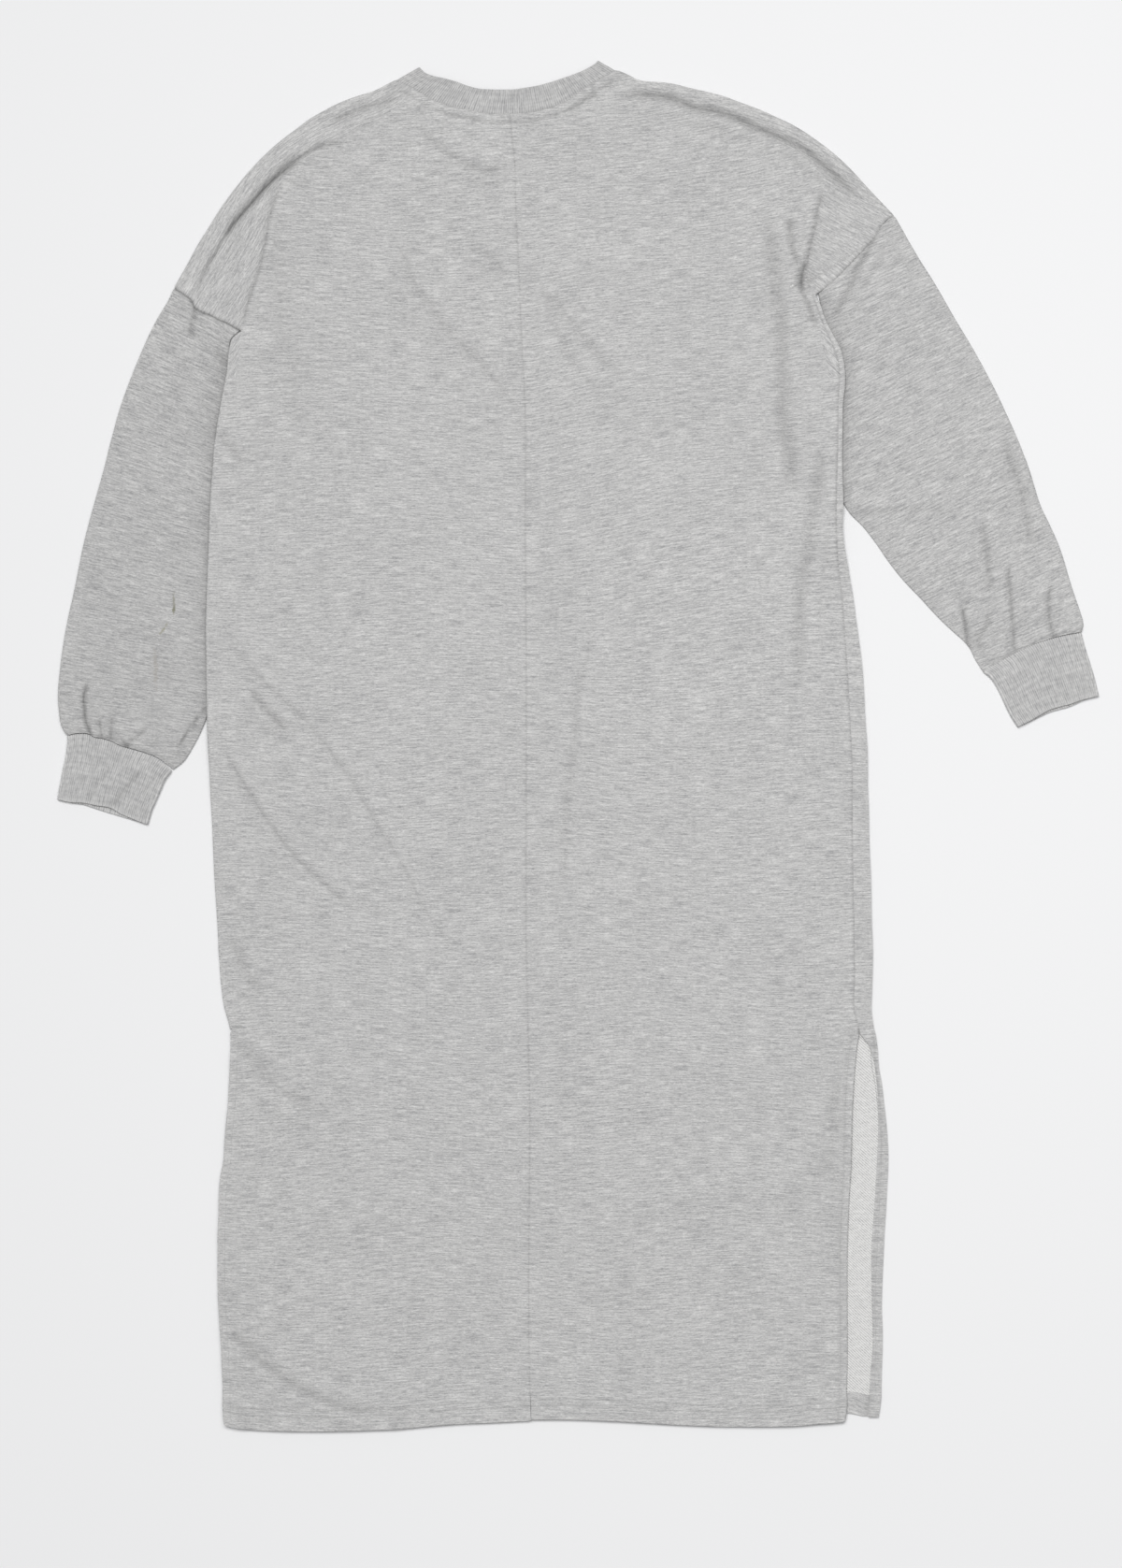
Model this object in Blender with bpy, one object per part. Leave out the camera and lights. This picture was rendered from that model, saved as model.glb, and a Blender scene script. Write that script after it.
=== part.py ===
"""A jumper dress in loop-back jersey, laid flat on a floor with its back up.

The front lies on the floor and the two backs lie on it. Left and right are as seen from above,
with the neck at +Y. The back's cloth rolls under at the left side and at both shoulders, and
the front's cloth rolls up over the right side to a seam that shows. Each sleeve is a flattened
tube whose inner edge is tucked under the body. Cuffs and neck band are flattened rings of
doubled rib, and both side slits, the hem, the cuffs and the neck are open.

Every piece is a wall built on the middle surface of its cloth. All tables are in millimetres.
"""

import bpy
import numpy as np

MM = 0.001

# Cloth and layers
CLOTH = 1.2                 # thickness of the jersey
RIB = 2.0                   # thickness of the doubled rib
SEAM_GAP = 0.3              # between two pieces that are sewn together
LAYER_GAP = 0.6             # between two layers that lie on each other
EDGE_RADIUS = 1.5           # a folded edge, to the middle of the cloth
TUCK_RADIUS = 0.85          # the sleeve's inner edge, pressed under the body
RIB_RADIUS = 1.3            # the folded edges of cuffs and neck band
ROLL_STEPS = 6              # faces round a folded edge

# Levels of the middle surfaces above the floor
LOWER = CLOTH / 2
UPPER = LOWER + CLOTH + LAYER_GAP
RIB_LOWER = RIB / 2

# Turn-ups
HEM_DEPTH = 20.0
SLIT_TURN = 12.0
FRONT_INSET = 1.5           # the front's left slit edge, inside the back's
STEP = 0.5                  # width of the slope at a turn-up's raw edge

# From a folded edge to where its cloth turns flat
ROLL = EDGE_RADIUS + CLOTH / 2
TUCK_ROLL = TUCK_RADIUS + CLOTH / 2
BAND_REACH = RIB_RADIUS + RIB / 2
UNDER_WRAP = 4.0            # the back's cloth under the front, past the roll
UNDERARM_GAP = 1.2          # from the body's underarm to the sleeve's

# Body sections from the hem to the underarm's curve: left edge, centre back seam and right edge
# at each height, and how far the right side seam lies inside the right edge.
SLIT_TOP = -250.0
SIDE_TOP = 310.0            # where the underarm's curve starts
BODY_SECTIONS = {
    "height": (-598, -560, -500, -433, -383, -333, -290, -262, -250, -233, -200, -116,
               -33, 50, 117, 150, 184, 217, 259, 285, 310),
    "left": (-314.5, -316.6, -320.1, -320.8, -318.6, -313.3, -310.4, -309.3, -309.9, -314.4,
             -318.3, -323.6, -327.5, -330.4, -331.3, -330.2, -329.0, -327.4, -324.3, -321.5,
             -317.5),
    "seam": (-40.4, -42.3, -43.3, -43.0, -42.5, -42.1, -42.8, -43.5, -43.7, -44.0, -44.8,
             -45.4, -45.4, -45.6, -45.8, -46.0, -46.2, -46.3, -46.3, -46.5, -46.9),
    "right": (269.6, 272.2, 272.3, 274.7, 277.8, 276.3, 270.5, 267.0, 265.9, 263.4, 264.7,
              263.2, 260.7, 257.4, 249.8, 244.9, 239.5, 238.4, 237.5, 237.7, 238.4),
    "seam_inset": (14.6, 14.6, 14.6, 14.6, 14.6, 14.6, 14.6, 14.6, 14.6, 15.3, 16.2, 16.0,
                   15.2, 14.6, 12.0, 9.6, 7.6, 7.0, 5.6, 4.6, 4.1),
}
BACK_SLIT_EDGE = {
    "height": (-602, -560, -495, -455, -415, -375, -322, -282, -250),
    "x": (237.9, 240.4, 240.7, 240.7, 241.8, 243.9, 245.2, 247.8, 251.4),
}

# Outlines of the body above its straight sides. Each runs away from the hem.
LEFT_UNDERARM = ((-317.5, 310), (-312.9, 338), (-310.4, 357), (-307.7, 365.8), (-299.8, 372.3))
RIGHT_UNDERARM = ((238.4, 310), (239.9, 330), (236.3, 355.3), (228.8, 370.2), (222.5, 384.6),
                  (217.9, 396.7), (213.5, 405.4))
LEFT_ARMHOLE = ((-299.8, 372.3), (-309.8, 377.9), (-327.7, 386.3), (-340.3, 392.1),
                (-344.5, 400.2), (-359.6, 410.4))
RIGHT_ARMHOLE = ((213.5, 405.4), (222.9, 412.1), (240, 428.2), (258.8, 448.8),
                 (268.9, 462.1), (282.9, 474.6))
LEFT_SHOULDER = ((-159.6, 596.7), (-182.9, 585.4), (-225.4, 568.8), (-273.8, 533.8),
                 (-303.8, 500.4), (-327.1, 467.1), (-346.3, 433.8), (-359.6, 410.4))
RIGHT_SHOULDER = ((32.9, 605), (47.9, 599.2), (68.8, 593.5), (99.6, 588.8), (127.1, 582.1),
                  (163.8, 568.8), (192.1, 555.4), (223.8, 533.8), (258.8, 500.4),
                  (282.9, 474.6))

# Neck: seams run from the centre back to each shoulder; band edges likewise.
NECK_CENTRE = (-59.9, 567.0)
LEFT_BACK_NECK = (NECK_CENTRE, (-86.4, 568.1), (-112.3, 573.3), (-136.7, 583.9),
                  (-159.6, 596.7))
RIGHT_BACK_NECK = (NECK_CENTRE, (-39.1, 568.8), (-20.4, 572.7), (-1.3, 584.6), (18.8, 596.3),
                   (32.9, 605))
FRONT_NECK_CENTRE = (-60.0, 509.0)
LEFT_FRONT_NECK = (FRONT_NECK_CENTRE, (-84, 512.5), (-112, 526), (-135, 548), (-147, 568),
                   (-156.0, 590.0))
RIGHT_FRONT_NECK = (FRONT_NECK_CENTRE, (-36, 513), (-8, 527), (15, 550), (25, 572),
                    (30.0, 598.0))
LEFT_BAND_EDGE = ((-59.9, 587.6), (-87.1, 588.2), (-107.9, 595.4), (-127.9, 599.6),
                  (-140.4, 607.6))
RIGHT_BAND_EDGE = ((-59.9, 587.6), (-30.4, 593.1), (-13.8, 598.2), (3.4, 603.8), (17.9, 613.5))
LEFT_FRONT_BAND_EDGE = ((-60, 531.5), (-78, 534), (-99, 545), (-117, 562), (-127, 580),
                        (-137.0, 601.0))
RIGHT_FRONT_BAND_EDGE = ((-60, 531.5), (-42, 534), (-21, 546), (-4, 563), (6, 582),
                         (15.0, 607.0))
LEFT_NECK_OUTWARD = (-0.47, 0.88)
RIGHT_NECK_OUTWARD = (0.36, 0.93)

# Hems, from the centre outwards
LEFT_BACK_HEM = ((-40.4, -600), (-102.3, -603.4), (-158.2, -608.5), (-222.9, -610.4),
                 (-292.1, -609.4), (-314.5, -606.5))
RIGHT_BACK_HEM = ((-40.4, -600), (2.1, -600), (60.4, -602.9), (120.4, -605.8),
                  (195.4, -605.8), (237.9, -601.7))
LEFT_FRONT_HEM = ((-40.4, -596.5), (-158.2, -603), (-250, -605), (-313.5, -605.4))
RIGHT_FRONT_HEM = ((-40.4, -596.5), (100, -598), (195.4, -597), (235, -593.5), (269.6, -597.1))

# Sleeves: outer edge and inner edge, from the armhole to the cuff seam, and the cuff seam
# from its outer to its inner end.
SLEEVES = {
    "left": {
        "outer": ((-359.6, 410.4), (-374.3, 383.8), (-396.7, 333.8), (-408.8, 300.4),
                  (-426.6, 233.8), (-443.7, 167.1), (-457.2, 100.4), (-463.3, 50.4),
                  (-461.5, 27), (-454.9, 11.3)),
        "inner": ((-300.8, 373.2), (-308.9, 366.9), (-311.9, 357.8), (-310.5, 350),
                  (-304, 338), (-301, 322), (-302.5, 300), (-308, 262), (-314, 200),
                  (-319, 140), (-324, 80), (-330.4, 23.8), (-342.9, 1.3), (-359.6, -19.2)),
        "seam": ((-454.9, 11.3), (-434.6, 12.5), (-414.9, 6.5), (-400.4, 0.6),
                 (-378.3, -5.8), (-359.6, -19.2)),
        "end": ((-463.8, -45.8), (-451.5, -48.3), (-430.4, -50.8), (-414.9, -53.4),
                (-409, -57.9), (-392.1, -64.6), (-383, -67.9)),
        "cuff_outer": ((-454.6, 11.0), (-459.2, -21.3), (-463.8, -45.8)),
        "cuff_inner": ((-362.2, -19.7), (-371.6, -37.7), (-379.3, -55.4), (-383, -67.9)),
    },
    "right": {
        "outer": ((282.9, 474.6), (296.8, 450.4), (317.3, 417.1), (356.3, 350.4),
                  (389.3, 283.8), (412.7, 217.1), (428.3, 183.8), (444.4, 133.8),
                  (451.7, 110), (449.3, 103.2)),
        "inner": ((214.4, 406.3), (219.2, 397.6), (223.9, 385.3), (225.8, 377.6),
                  (222.6, 366), (221.5, 350), (221.5, 330), (223, 300), (227, 262),
                  (232.5, 235), (238.4, 216.3), (265.8, 183.8), (306.3, 133.8),
                  (345, 95.4), (362.1, 67.9)),
        "seam": ((449.3, 103.2), (424.4, 98.3), (405.3, 92.6), (385.2, 82.1), (373.7, 75.4),
                 (362.1, 67.9)),
        "end": ((465.1, 46.7), (450.3, 42.9), (436.8, 38.1), (420.6, 34.3), (411.9, 29),
                (400.4, 22.3), (392.8, 18.9)),
        "cuff_outer": ((450.0, 103.0), (452.1, 92.6), (461.7, 61.1), (465.1, 46.7)),
        "cuff_inner": ((362.1, 67.4), (371.8, 58.2), (381.3, 38.1), (392.8, 18.9)),
    },
}

# Where the body rides up over the tucked sleeve, for each side: the heights between which it
# rises at the underarm, and those between which it comes down past the sleeve.
TUCK_RISE = 3.4
FRONT_REACH = (20.0, 34.0)  # full rise, and none, this far inside the edge
BACK_REACH = (26.0, 46.0)
TUCK_HEIGHTS = {
    "left": (372.0, 354.0, -10.0, -80.0),
    "right": (405.0, 383.0, 184.0, 115.0),
}

# Grids. Columns are distances from a panel's side towards its centre; the neck point is one.
HALF_WIDTH = 300.0
NECK_POINT = 200.0
COLUMNS = (300, 275, 250, 225, 200, 150, 100, 60, 34, 20, SLIT_TURN + STEP, SLIT_TURN, 0)
HEM_ROWS = (0, HEM_DEPTH, HEM_DEPTH + STEP, 50, 105, 170, 235, 300, 338)   # above the hem
SIDE_ROWS = (SLIT_TOP, -180, -110, -40, 40, 115, 184, 250)
UNDERARM_ROWS = (0, 0.4, 0.68, 0.84, 1)
ARMHOLE_ROWS = (0, 0.2, 0.4, 0.6, 0.8, 1)
SLEEVE_ROWS = (0, 0.02, 0.045, 0.08, 0.14, 0.23, 0.35, 0.48, 0.61, 0.74, 0.86, 0.94, 1)
CUFF_ROWS = (0, 0.5, 1)

# How far a folded edge, a turn-up and the front's neck band lift the upper layer beside them
ROLL_REACH = 25.0
HEM_REACH = 30.0
SLIT_FADE = (-25.0, 20.0)   # above the slit top
NECK_RISE = 1.0
NECK_OVAL = {"centre": (-62.0, 562.0), "half_size": (125.0, 75.0), "full": 0.9, "none": 1.4}

# The largest soft folds of the upper layer, as ridges between two points
FOLDS = {
    "start": ((-170, 556), (-262, 505), (60, 572), (190, 528), (206, 470), (-322, 110),
              (-200, -60), (-312, -520), (-60, 470)),
    "end": ((-262, 505), (-330, 425), (190, 528), (262, 470), (226, 330), (-200, -60),
            (-100, -190), (-205, -585), (-40, 330)),
    "height": (1.4, 1.5, 1.5, 1.6, 1.6, 1.2, 1.0, 1.2, 0.9),
    "width": (40, 40, 40, 40, 36, 50, 50, 50, 60),
}


def measured_along(points):
    """Distance of each point from the first one, along the path."""
    steps = np.linalg.norm(np.diff(points, axis=0), axis=1)
    return np.concatenate([[0.0], np.cumsum(steps)])


def smooth_values(at, known_at, known):
    """Values at places between known ones, on a smooth curve through them."""
    known_at = np.asarray(known_at, float)
    known = np.asarray(known, float)
    slope = np.gradient(known, known_at, axis=0)
    at = np.clip(np.asarray(at, float), known_at[0], known_at[-1])
    part = np.clip(np.searchsorted(known_at, at, side="right") - 1, 0, len(known_at) - 2)
    span = known_at[part + 1] - known_at[part]
    t = (at - known_at[part]) / span
    if known.ndim > 1:
        t = t[:, None]
        span = span[:, None]
    start = known[part] * (2 * t**3 - 3 * t**2 + 1) + slope[part] * span * (t**3 - 2 * t**2 + t)
    end = known[part + 1] * (3 * t**2 - 2 * t**3) + slope[part + 1] * span * (t**3 - t**2)
    return start + end


def path(points, fractions):
    """Points at these fractions of the length of a smooth curve through the given ones."""
    points = np.asarray(points, float)
    along = measured_along(points)
    fine_at = np.linspace(0, along[-1], 200)
    fine = smooth_values(fine_at, along, points)
    length = measured_along(fine)
    wanted = np.asarray(fractions, float) * length[-1]
    return np.stack([np.interp(wanted, length, fine[:, k]) for k in (0, 1)], axis=1)


def section(column, heights):
    """One column of the body's section table, at any heights."""
    return smooth_values(heights, BODY_SECTIONS["height"], BODY_SECTIONS[column])


def unit(vectors):
    vectors = np.asarray(vectors, float)
    return vectors / np.linalg.norm(vectors, axis=-1, keepdims=True)


def beside(points, towards_left):
    """Unit vectors square to a path, on its left or its right."""
    along = unit(np.gradient(points, axis=0))
    left = np.stack([-along[:, 1], along[:, 0]], axis=1)
    return left if towards_left else -left


def distance_to(line, x, y):
    """Shortest distance from each place to a line of straight pieces."""
    place = np.stack([x, y], axis=-1)
    nearest = np.full(x.shape, np.inf)
    for a, b in zip(line[:-1], line[1:]):
        run = b - a
        t = np.clip(((place - a) @ run) / (run @ run), 0, 1)
        gap = np.linalg.norm(place - a - t[..., None] * run, axis=-1)
        nearest = np.minimum(nearest, gap)
    return nearest


def fade(value):
    """1 at 0 and below, 0 at 1 and above, smooth between."""
    t = np.clip(value, 0, 1)
    return 1 - t * t * (3 - 2 * t)


def side_outline(side, heights):
    """Left or right edge of the body below the underarm's short curve."""
    heights = np.asarray(heights, float)
    return np.stack([section(side, heights), heights], axis=1)


def whole_outline(side):
    """The body's edge from the slit top to the underarm, and its shoulder, as fine lines."""
    heights = np.linspace(SLIT_TOP, SIDE_TOP, 60)
    underarm = LEFT_UNDERARM if side == "left" else RIGHT_UNDERARM
    shoulder = LEFT_SHOULDER if side == "left" else RIGHT_SHOULDER
    sleeve = SLEEVES[side]["outer"]
    fine = np.linspace(0, 1, 40)
    edge = np.concatenate([side_outline(side, heights), path(underarm, fine)[1:]])
    top = np.concatenate([path(shoulder, fine), path(sleeve, fine)[1:]])
    return edge, top


OUTLINES = {side: whole_outline(side) for side in ("left", "right")}


def tuck_lift(x, y, reach):
    """How far a body layer is lifted by the sleeves that are tucked under it."""
    lift = np.zeros(x.shape)
    for side, inward in (("left", 1), ("right", -1)):
        underarm_low, underarm_full, exit_full, exit_low = TUCK_HEIGHTS[side]
        edge = OUTLINES[side][0]
        edge_x = np.interp(y, edge[:, 1], edge[:, 0])
        inside = (x - edge_x) * inward
        full, none = reach
        across = fade((inside - full) / (none - full))
        top = fade((y - underarm_full) / (underarm_low - underarm_full))
        bottom = fade((exit_full - y) / (exit_full - exit_low))
        lift = np.maximum(lift, TUCK_RISE * across * top * bottom)
    return lift


def front_level(x, y):
    return LOWER + tuck_lift(x, y, FRONT_REACH)


def turn_up_lift(x, y):
    """The upper layer stands on the turn-ups: both at the hem and left slit, one at the right."""
    hem_x, hem_y = np.array(LEFT_BACK_HEM[::-1] + RIGHT_BACK_HEM[1:]).T
    above_hem = y - np.interp(x, hem_x, hem_y) - HEM_DEPTH - STEP
    lift = 2 * CLOTH * fade(above_hem / HEM_REACH)
    full, none = SLIT_FADE
    in_slit = fade((y - SLIT_TOP - full) / (none - full))
    left = 2 * CLOTH * fade((x - section("left", y) - SLIT_TURN - STEP) / HEM_REACH)
    slit_edge = smooth_values(y, BACK_SLIT_EDGE["height"], BACK_SLIT_EDGE["x"])
    right = CLOTH * fade((slit_edge - x - SLIT_TURN - STEP) / HEM_REACH)
    return np.maximum(lift, np.maximum(left, right) * in_slit)


def upper_level(x, y):
    """Middle surface of the upper layer: backs, and the sleeves' tops near the armholes."""
    roll = np.zeros(x.shape)
    for side in ("left", "right"):
        edge, top = OUTLINES[side]
        for line in (edge, top):
            near = distance_to(line, x, y) - ROLL
            roll = np.maximum(roll, fade(near / ROLL_REACH))
    roll_height = LOWER + 2 * EDGE_RADIUS - UPPER
    neck_x, neck_y = NECK_OVAL["centre"]
    wide, high = NECK_OVAL["half_size"]
    from_neck = np.hypot((x - neck_x) / wide, (y - neck_y) / high) - NECK_OVAL["full"]
    rise = NECK_RISE * fade(from_neck / (NECK_OVAL["none"] - NECK_OVAL["full"]))
    level = UPPER + np.maximum(roll_height * roll, rise)
    for start, end, height, width in zip(*FOLDS.values()):
        line = np.array([start, end], float)
        level = level + height * fade(distance_to(line, x, y) / width) * (1 - roll)
    return level + tuck_lift(x, y, BACK_REACH) + turn_up_lift(x, y)


def spread(centre, side, bottom, top, across, power):
    """Plan of a four-sided panel. Rows run from centre to side; bottom and top shape the rows
    near them, less and less further away."""
    height = (centre[:, 1] - centre[0, 1]) / (centre[-1, 1] - centre[0, 1])
    across = np.asarray(across)[None, :, None]
    rows = (1 - across) * centre[:, None] + across * side[:, None]
    low = bottom[None] - (1 - across) * bottom[0] - across * bottom[-1]
    high = top[None] - (1 - across) * top[0] - across * top[-1]
    height = height[:, None, None]
    return rows + (1 - height) ** power * low + height**power * high


class Cloth:
    """Middle surface of one piece, with the thickness above and below it at each point."""

    def __init__(self, thickness):
        self.half = thickness / 2
        self.points = []
        self.faces = []
        self.inner_extra = []

    def add(self, grid, inner_extra=0.0):
        """Adds points of any grid shape and returns their numbers in the same shape."""
        grid = np.asarray(grid, float)
        first = len(self.points)
        count = int(np.prod(grid.shape[:-1]))
        self.points.extend(grid.reshape(-1, 3))
        extra = np.broadcast_to(inner_extra, grid.shape[:-1])
        self.inner_extra.extend(extra.reshape(-1))
        return np.arange(first, first + count).reshape(grid.shape[:-1])

    def join(self, numbers, closed=False):
        """Faces between the neighbours of a grid of point numbers, rows by columns."""
        if closed:
            numbers = np.concatenate([numbers, numbers[:, :1]], axis=1)
        for low, high in zip(numbers[:-1], numbers[1:]):
            for k in range(len(low) - 1):
                self.faces.append((low[k], low[k + 1], high[k + 1], high[k]))

    def offsets(self):
        """At each point, the vector that moves all its faces out by one unit."""
        points = np.array(self.points)
        around = [[] for _ in points]
        for face in self.faces:
            a, b, c, d = (points[k] for k in face)
            normal = unit(np.cross(c - a, d - b))
            for k in face:
                around[k].append(normal)
        return np.array([np.linalg.lstsq(np.array(n), np.ones(len(n)), rcond=0.1)[0]
                         for n in around])

    def walls(self):
        """Points and faces of the closed wall round the middle surface."""
        points = np.array(self.points)
        out = self.offsets()
        inner = (self.half + np.array(self.inner_extra))[:, None]
        both = np.concatenate([points + out * self.half, points - out * inner])
        count = len(points)
        edges = {}
        faces = []
        for face in self.faces:
            faces.append(tuple(face))
            faces.append(tuple(k + count for k in reversed(face)))
            for a, b in zip(face, face[1:] + face[:1]):
                if (b, a) in edges:
                    del edges[(b, a)]
                else:
                    edges[(a, b)] = True
        for a, b in edges:
            faces.append((b, a, a + count, b + count))
        return both, faces


def roll_between(top, bottom, outward):
    """Points round a folded edge from its upper to its lower layer, both left out."""
    middle = (top + bottom) / 2
    radius = (top[:, 2] - bottom[:, 2]) / 2
    columns = []
    for step in range(1, ROLL_STEPS):
        angle = np.pi * step / ROLL_STEPS
        point = middle.copy()
        point[:, :2] += outward * (radius * np.sin(angle))[:, None]
        point[:, 2] += radius * np.cos(angle)
        columns.append(point)
    return columns


def lifted(plan, level):
    """A plan grid with its height, from a function of place or one number."""
    x = plan[..., 0]
    y = plan[..., 1]
    height = level(x, y) if callable(level) else np.full(x.shape, float(level))
    return np.concatenate([plan, height[..., None]], axis=-1)


def make_material(name, colour, roughness):
    material = bpy.data.materials.new(name)
    material.use_nodes = True
    shader = material.node_tree.nodes["Principled BSDF"]
    shader.inputs["Base Color"].default_value = (*colour, 1.0)
    shader.inputs["Roughness"].default_value = roughness
    shader.inputs["Metallic"].default_value = 0.0
    return material


def make_object(name, cloth, colour):
    points, faces = cloth.walls()
    mesh = bpy.data.meshes.new(name)
    mesh.from_pydata((points * MM).tolist(), [], [tuple(int(k) for k in f) for f in faces])
    mesh.validate()
    mesh.shade_smooth()
    mesh.set_sharp_from_angle(angle=np.radians(50))
    mesh.materials.append(make_material(name, colour, 0.95))
    piece = bpy.data.objects.new(name, mesh)
    bpy.context.scene.collection.objects.link(piece)
    return piece


# ---- the body's boundaries --------------------------------------------------------------


def armhole_samples(side):
    """The armhole seam from underarm to shoulder, and its directions out at both ends."""
    points = LEFT_ARMHOLE if side == "left" else RIGHT_ARMHOLE
    samples = path(points, ARMHOLE_ROWS)
    under_out = unit(samples[1] - samples[0])
    shoulder_out = unit(samples[-1] - samples[-2])
    return samples, under_out, shoulder_out


def body_side(side, reach, shoulder_reach, slit_edge, hem_corner):
    """A panel's side from the hem to the shoulder's end of the armhole.

    reach(heights) is how far the panel's boundary lies inside the folded edge. Returns the
    boundary and, for each row, the direction out across the folded edge.
    """
    hem = hem_corner[1]
    heights = hem + np.array(HEM_ROWS)
    slit = np.stack([slit_edge(heights), heights], axis=1)
    slit[0] = hem_corner
    sides = side_outline(side, SIDE_ROWS)
    underarm = LEFT_UNDERARM if side == "left" else RIGHT_UNDERARM
    curve = path(underarm, UNDERARM_ROWS)
    folded = np.concatenate([sides, curve])
    outward = beside(folded, towards_left=side == "left")
    armhole, under_out, shoulder_out = armhole_samples(side)
    outward[-1] = under_out
    depth = reach(folded[:, 1])
    inset = folded - outward * depth[:, None]
    arm = armhole[1:].copy()
    arm[-1] = armhole[-1] - shoulder_out * shoulder_reach
    boundary = np.concatenate([slit, inset, arm])
    across = np.concatenate([np.repeat(outward[:1], len(slit), 0), outward,
                             np.repeat(under_out[None], len(arm), 0)])
    return boundary, across


def body_top(neck, shoulder, neck_outward, shoulder_out, reach):
    """A panel's top from the centre along the neck seam and the shoulder to the armhole."""
    columns = np.array(COLUMNS, float)
    neck_columns = columns[columns >= NECK_POINT]
    shoulder_columns = columns[columns <= NECK_POINT]
    along_neck = (HALF_WIDTH - neck_columns) / (HALF_WIDTH - NECK_POINT)
    along_shoulder = (NECK_POINT - shoulder_columns) / NECK_POINT
    neck_line = path(neck, along_neck)
    edge = path(shoulder, along_shoulder)
    left = shoulder[-1][0] < shoulder[0][0]
    outward = beside(edge, towards_left=not left)
    outward[0] = unit(neck_outward)
    outward[-1] = shoulder_out
    inset = edge - outward * reach
    band_end = edge[0] - outward[0] * BAND_REACH
    along_band = unit(neck_line[-2] - band_end)
    inset[0] = band_end + along_band * (reach - BAND_REACH)
    return np.concatenate([neck_line[:-1], inset]), outward


def half_panel(side, centre_top, neck, hem, reach, shoulder_reach, slit_edge):
    """Plan grid of half the body's width, and the ways out across its folded edges."""
    armhole, under_out, shoulder_out = armhole_samples(side)
    boundary, side_out = body_side(side, reach, shoulder_reach, slit_edge, hem[-1])
    shoulder = LEFT_SHOULDER if side == "left" else RIGHT_SHOULDER
    neck_out = LEFT_NECK_OUTWARD if side == "left" else RIGHT_NECK_OUTWARD
    top, shoulder_outs = body_top(neck, shoulder, neck_out, shoulder_out, shoulder_reach)
    arm_count = len(ARMHOLE_ROWS)
    low = boundary[: len(boundary) - arm_count + 1, 1].copy()
    low[0] = hem[0][1]
    high = np.linspace(low[-1], centre_top[1], arm_count)[1:]
    heights = np.concatenate([low, high])
    centre = np.stack([section("seam", heights), heights], axis=1)
    drift = (heights - SIDE_TOP) / (NECK_CENTRE[1] - SIDE_TOP)
    centre[:, 0] += (NECK_CENTRE[0] - section("seam", [SIDE_TOP])[0]) * np.maximum(drift, 0)
    centre[-1] = centre_top
    across = 1 - np.array(COLUMNS) / HALF_WIDTH
    bottom = path(hem, across)
    plan = spread(centre, boundary, bottom, top, across, power=6)
    return plan, side_out, shoulder_outs


FOLD_START = len(HEM_ROWS)                              # row of the slit top
FOLD_END = FOLD_START + len(SIDE_ROWS) + len(UNDERARM_ROWS) - 1   # row of the underarm
NECK_COLUMN = COLUMNS.index(NECK_POINT)


def turn_up_extra(plan):
    """Extra thickness at the hem and slit turn-ups, for a half panel's grid."""
    extra = np.zeros(plan.shape[:2])
    extra[: HEM_ROWS.index(HEM_DEPTH) + 1] = CLOTH
    extra[:FOLD_START, COLUMNS.index(SLIT_TURN):] = CLOTH
    return extra


def clear_ends(columns, ends):
    """Draws the ends of a rolled strip in, more and more round the roll, off their seams."""
    for step, column in enumerate(columns, 1):
        inward = SEAM_GAP * min(step / ROLL_STEPS, 1)
        for end, neighbour in ends:
            along = column[neighbour] - column[end]
            column[end] += along / np.linalg.norm(along) * inward


def add_shoulder_roll(cloth, numbers, outward, reverse):
    """The back's cloth over the shoulder and a little way under the front."""
    edge = numbers[-1, NECK_COLUMN:]
    top = np.array([cloth.points[k] for k in edge])
    bottom = top.copy()
    bottom[:, 2] = LOWER
    rows = roll_between(top, bottom, outward)
    rows.append(bottom)
    wrap = bottom.copy()
    wrap[:, :2] -= outward * UNDER_WRAP
    rows.append(wrap)
    clear_ends(rows, ((0, 1), (-1, -2)))
    strip = np.concatenate([edge[None], cloth.add(np.array(rows))])
    cloth.join(strip[:, ::-1] if reverse else strip)


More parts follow.
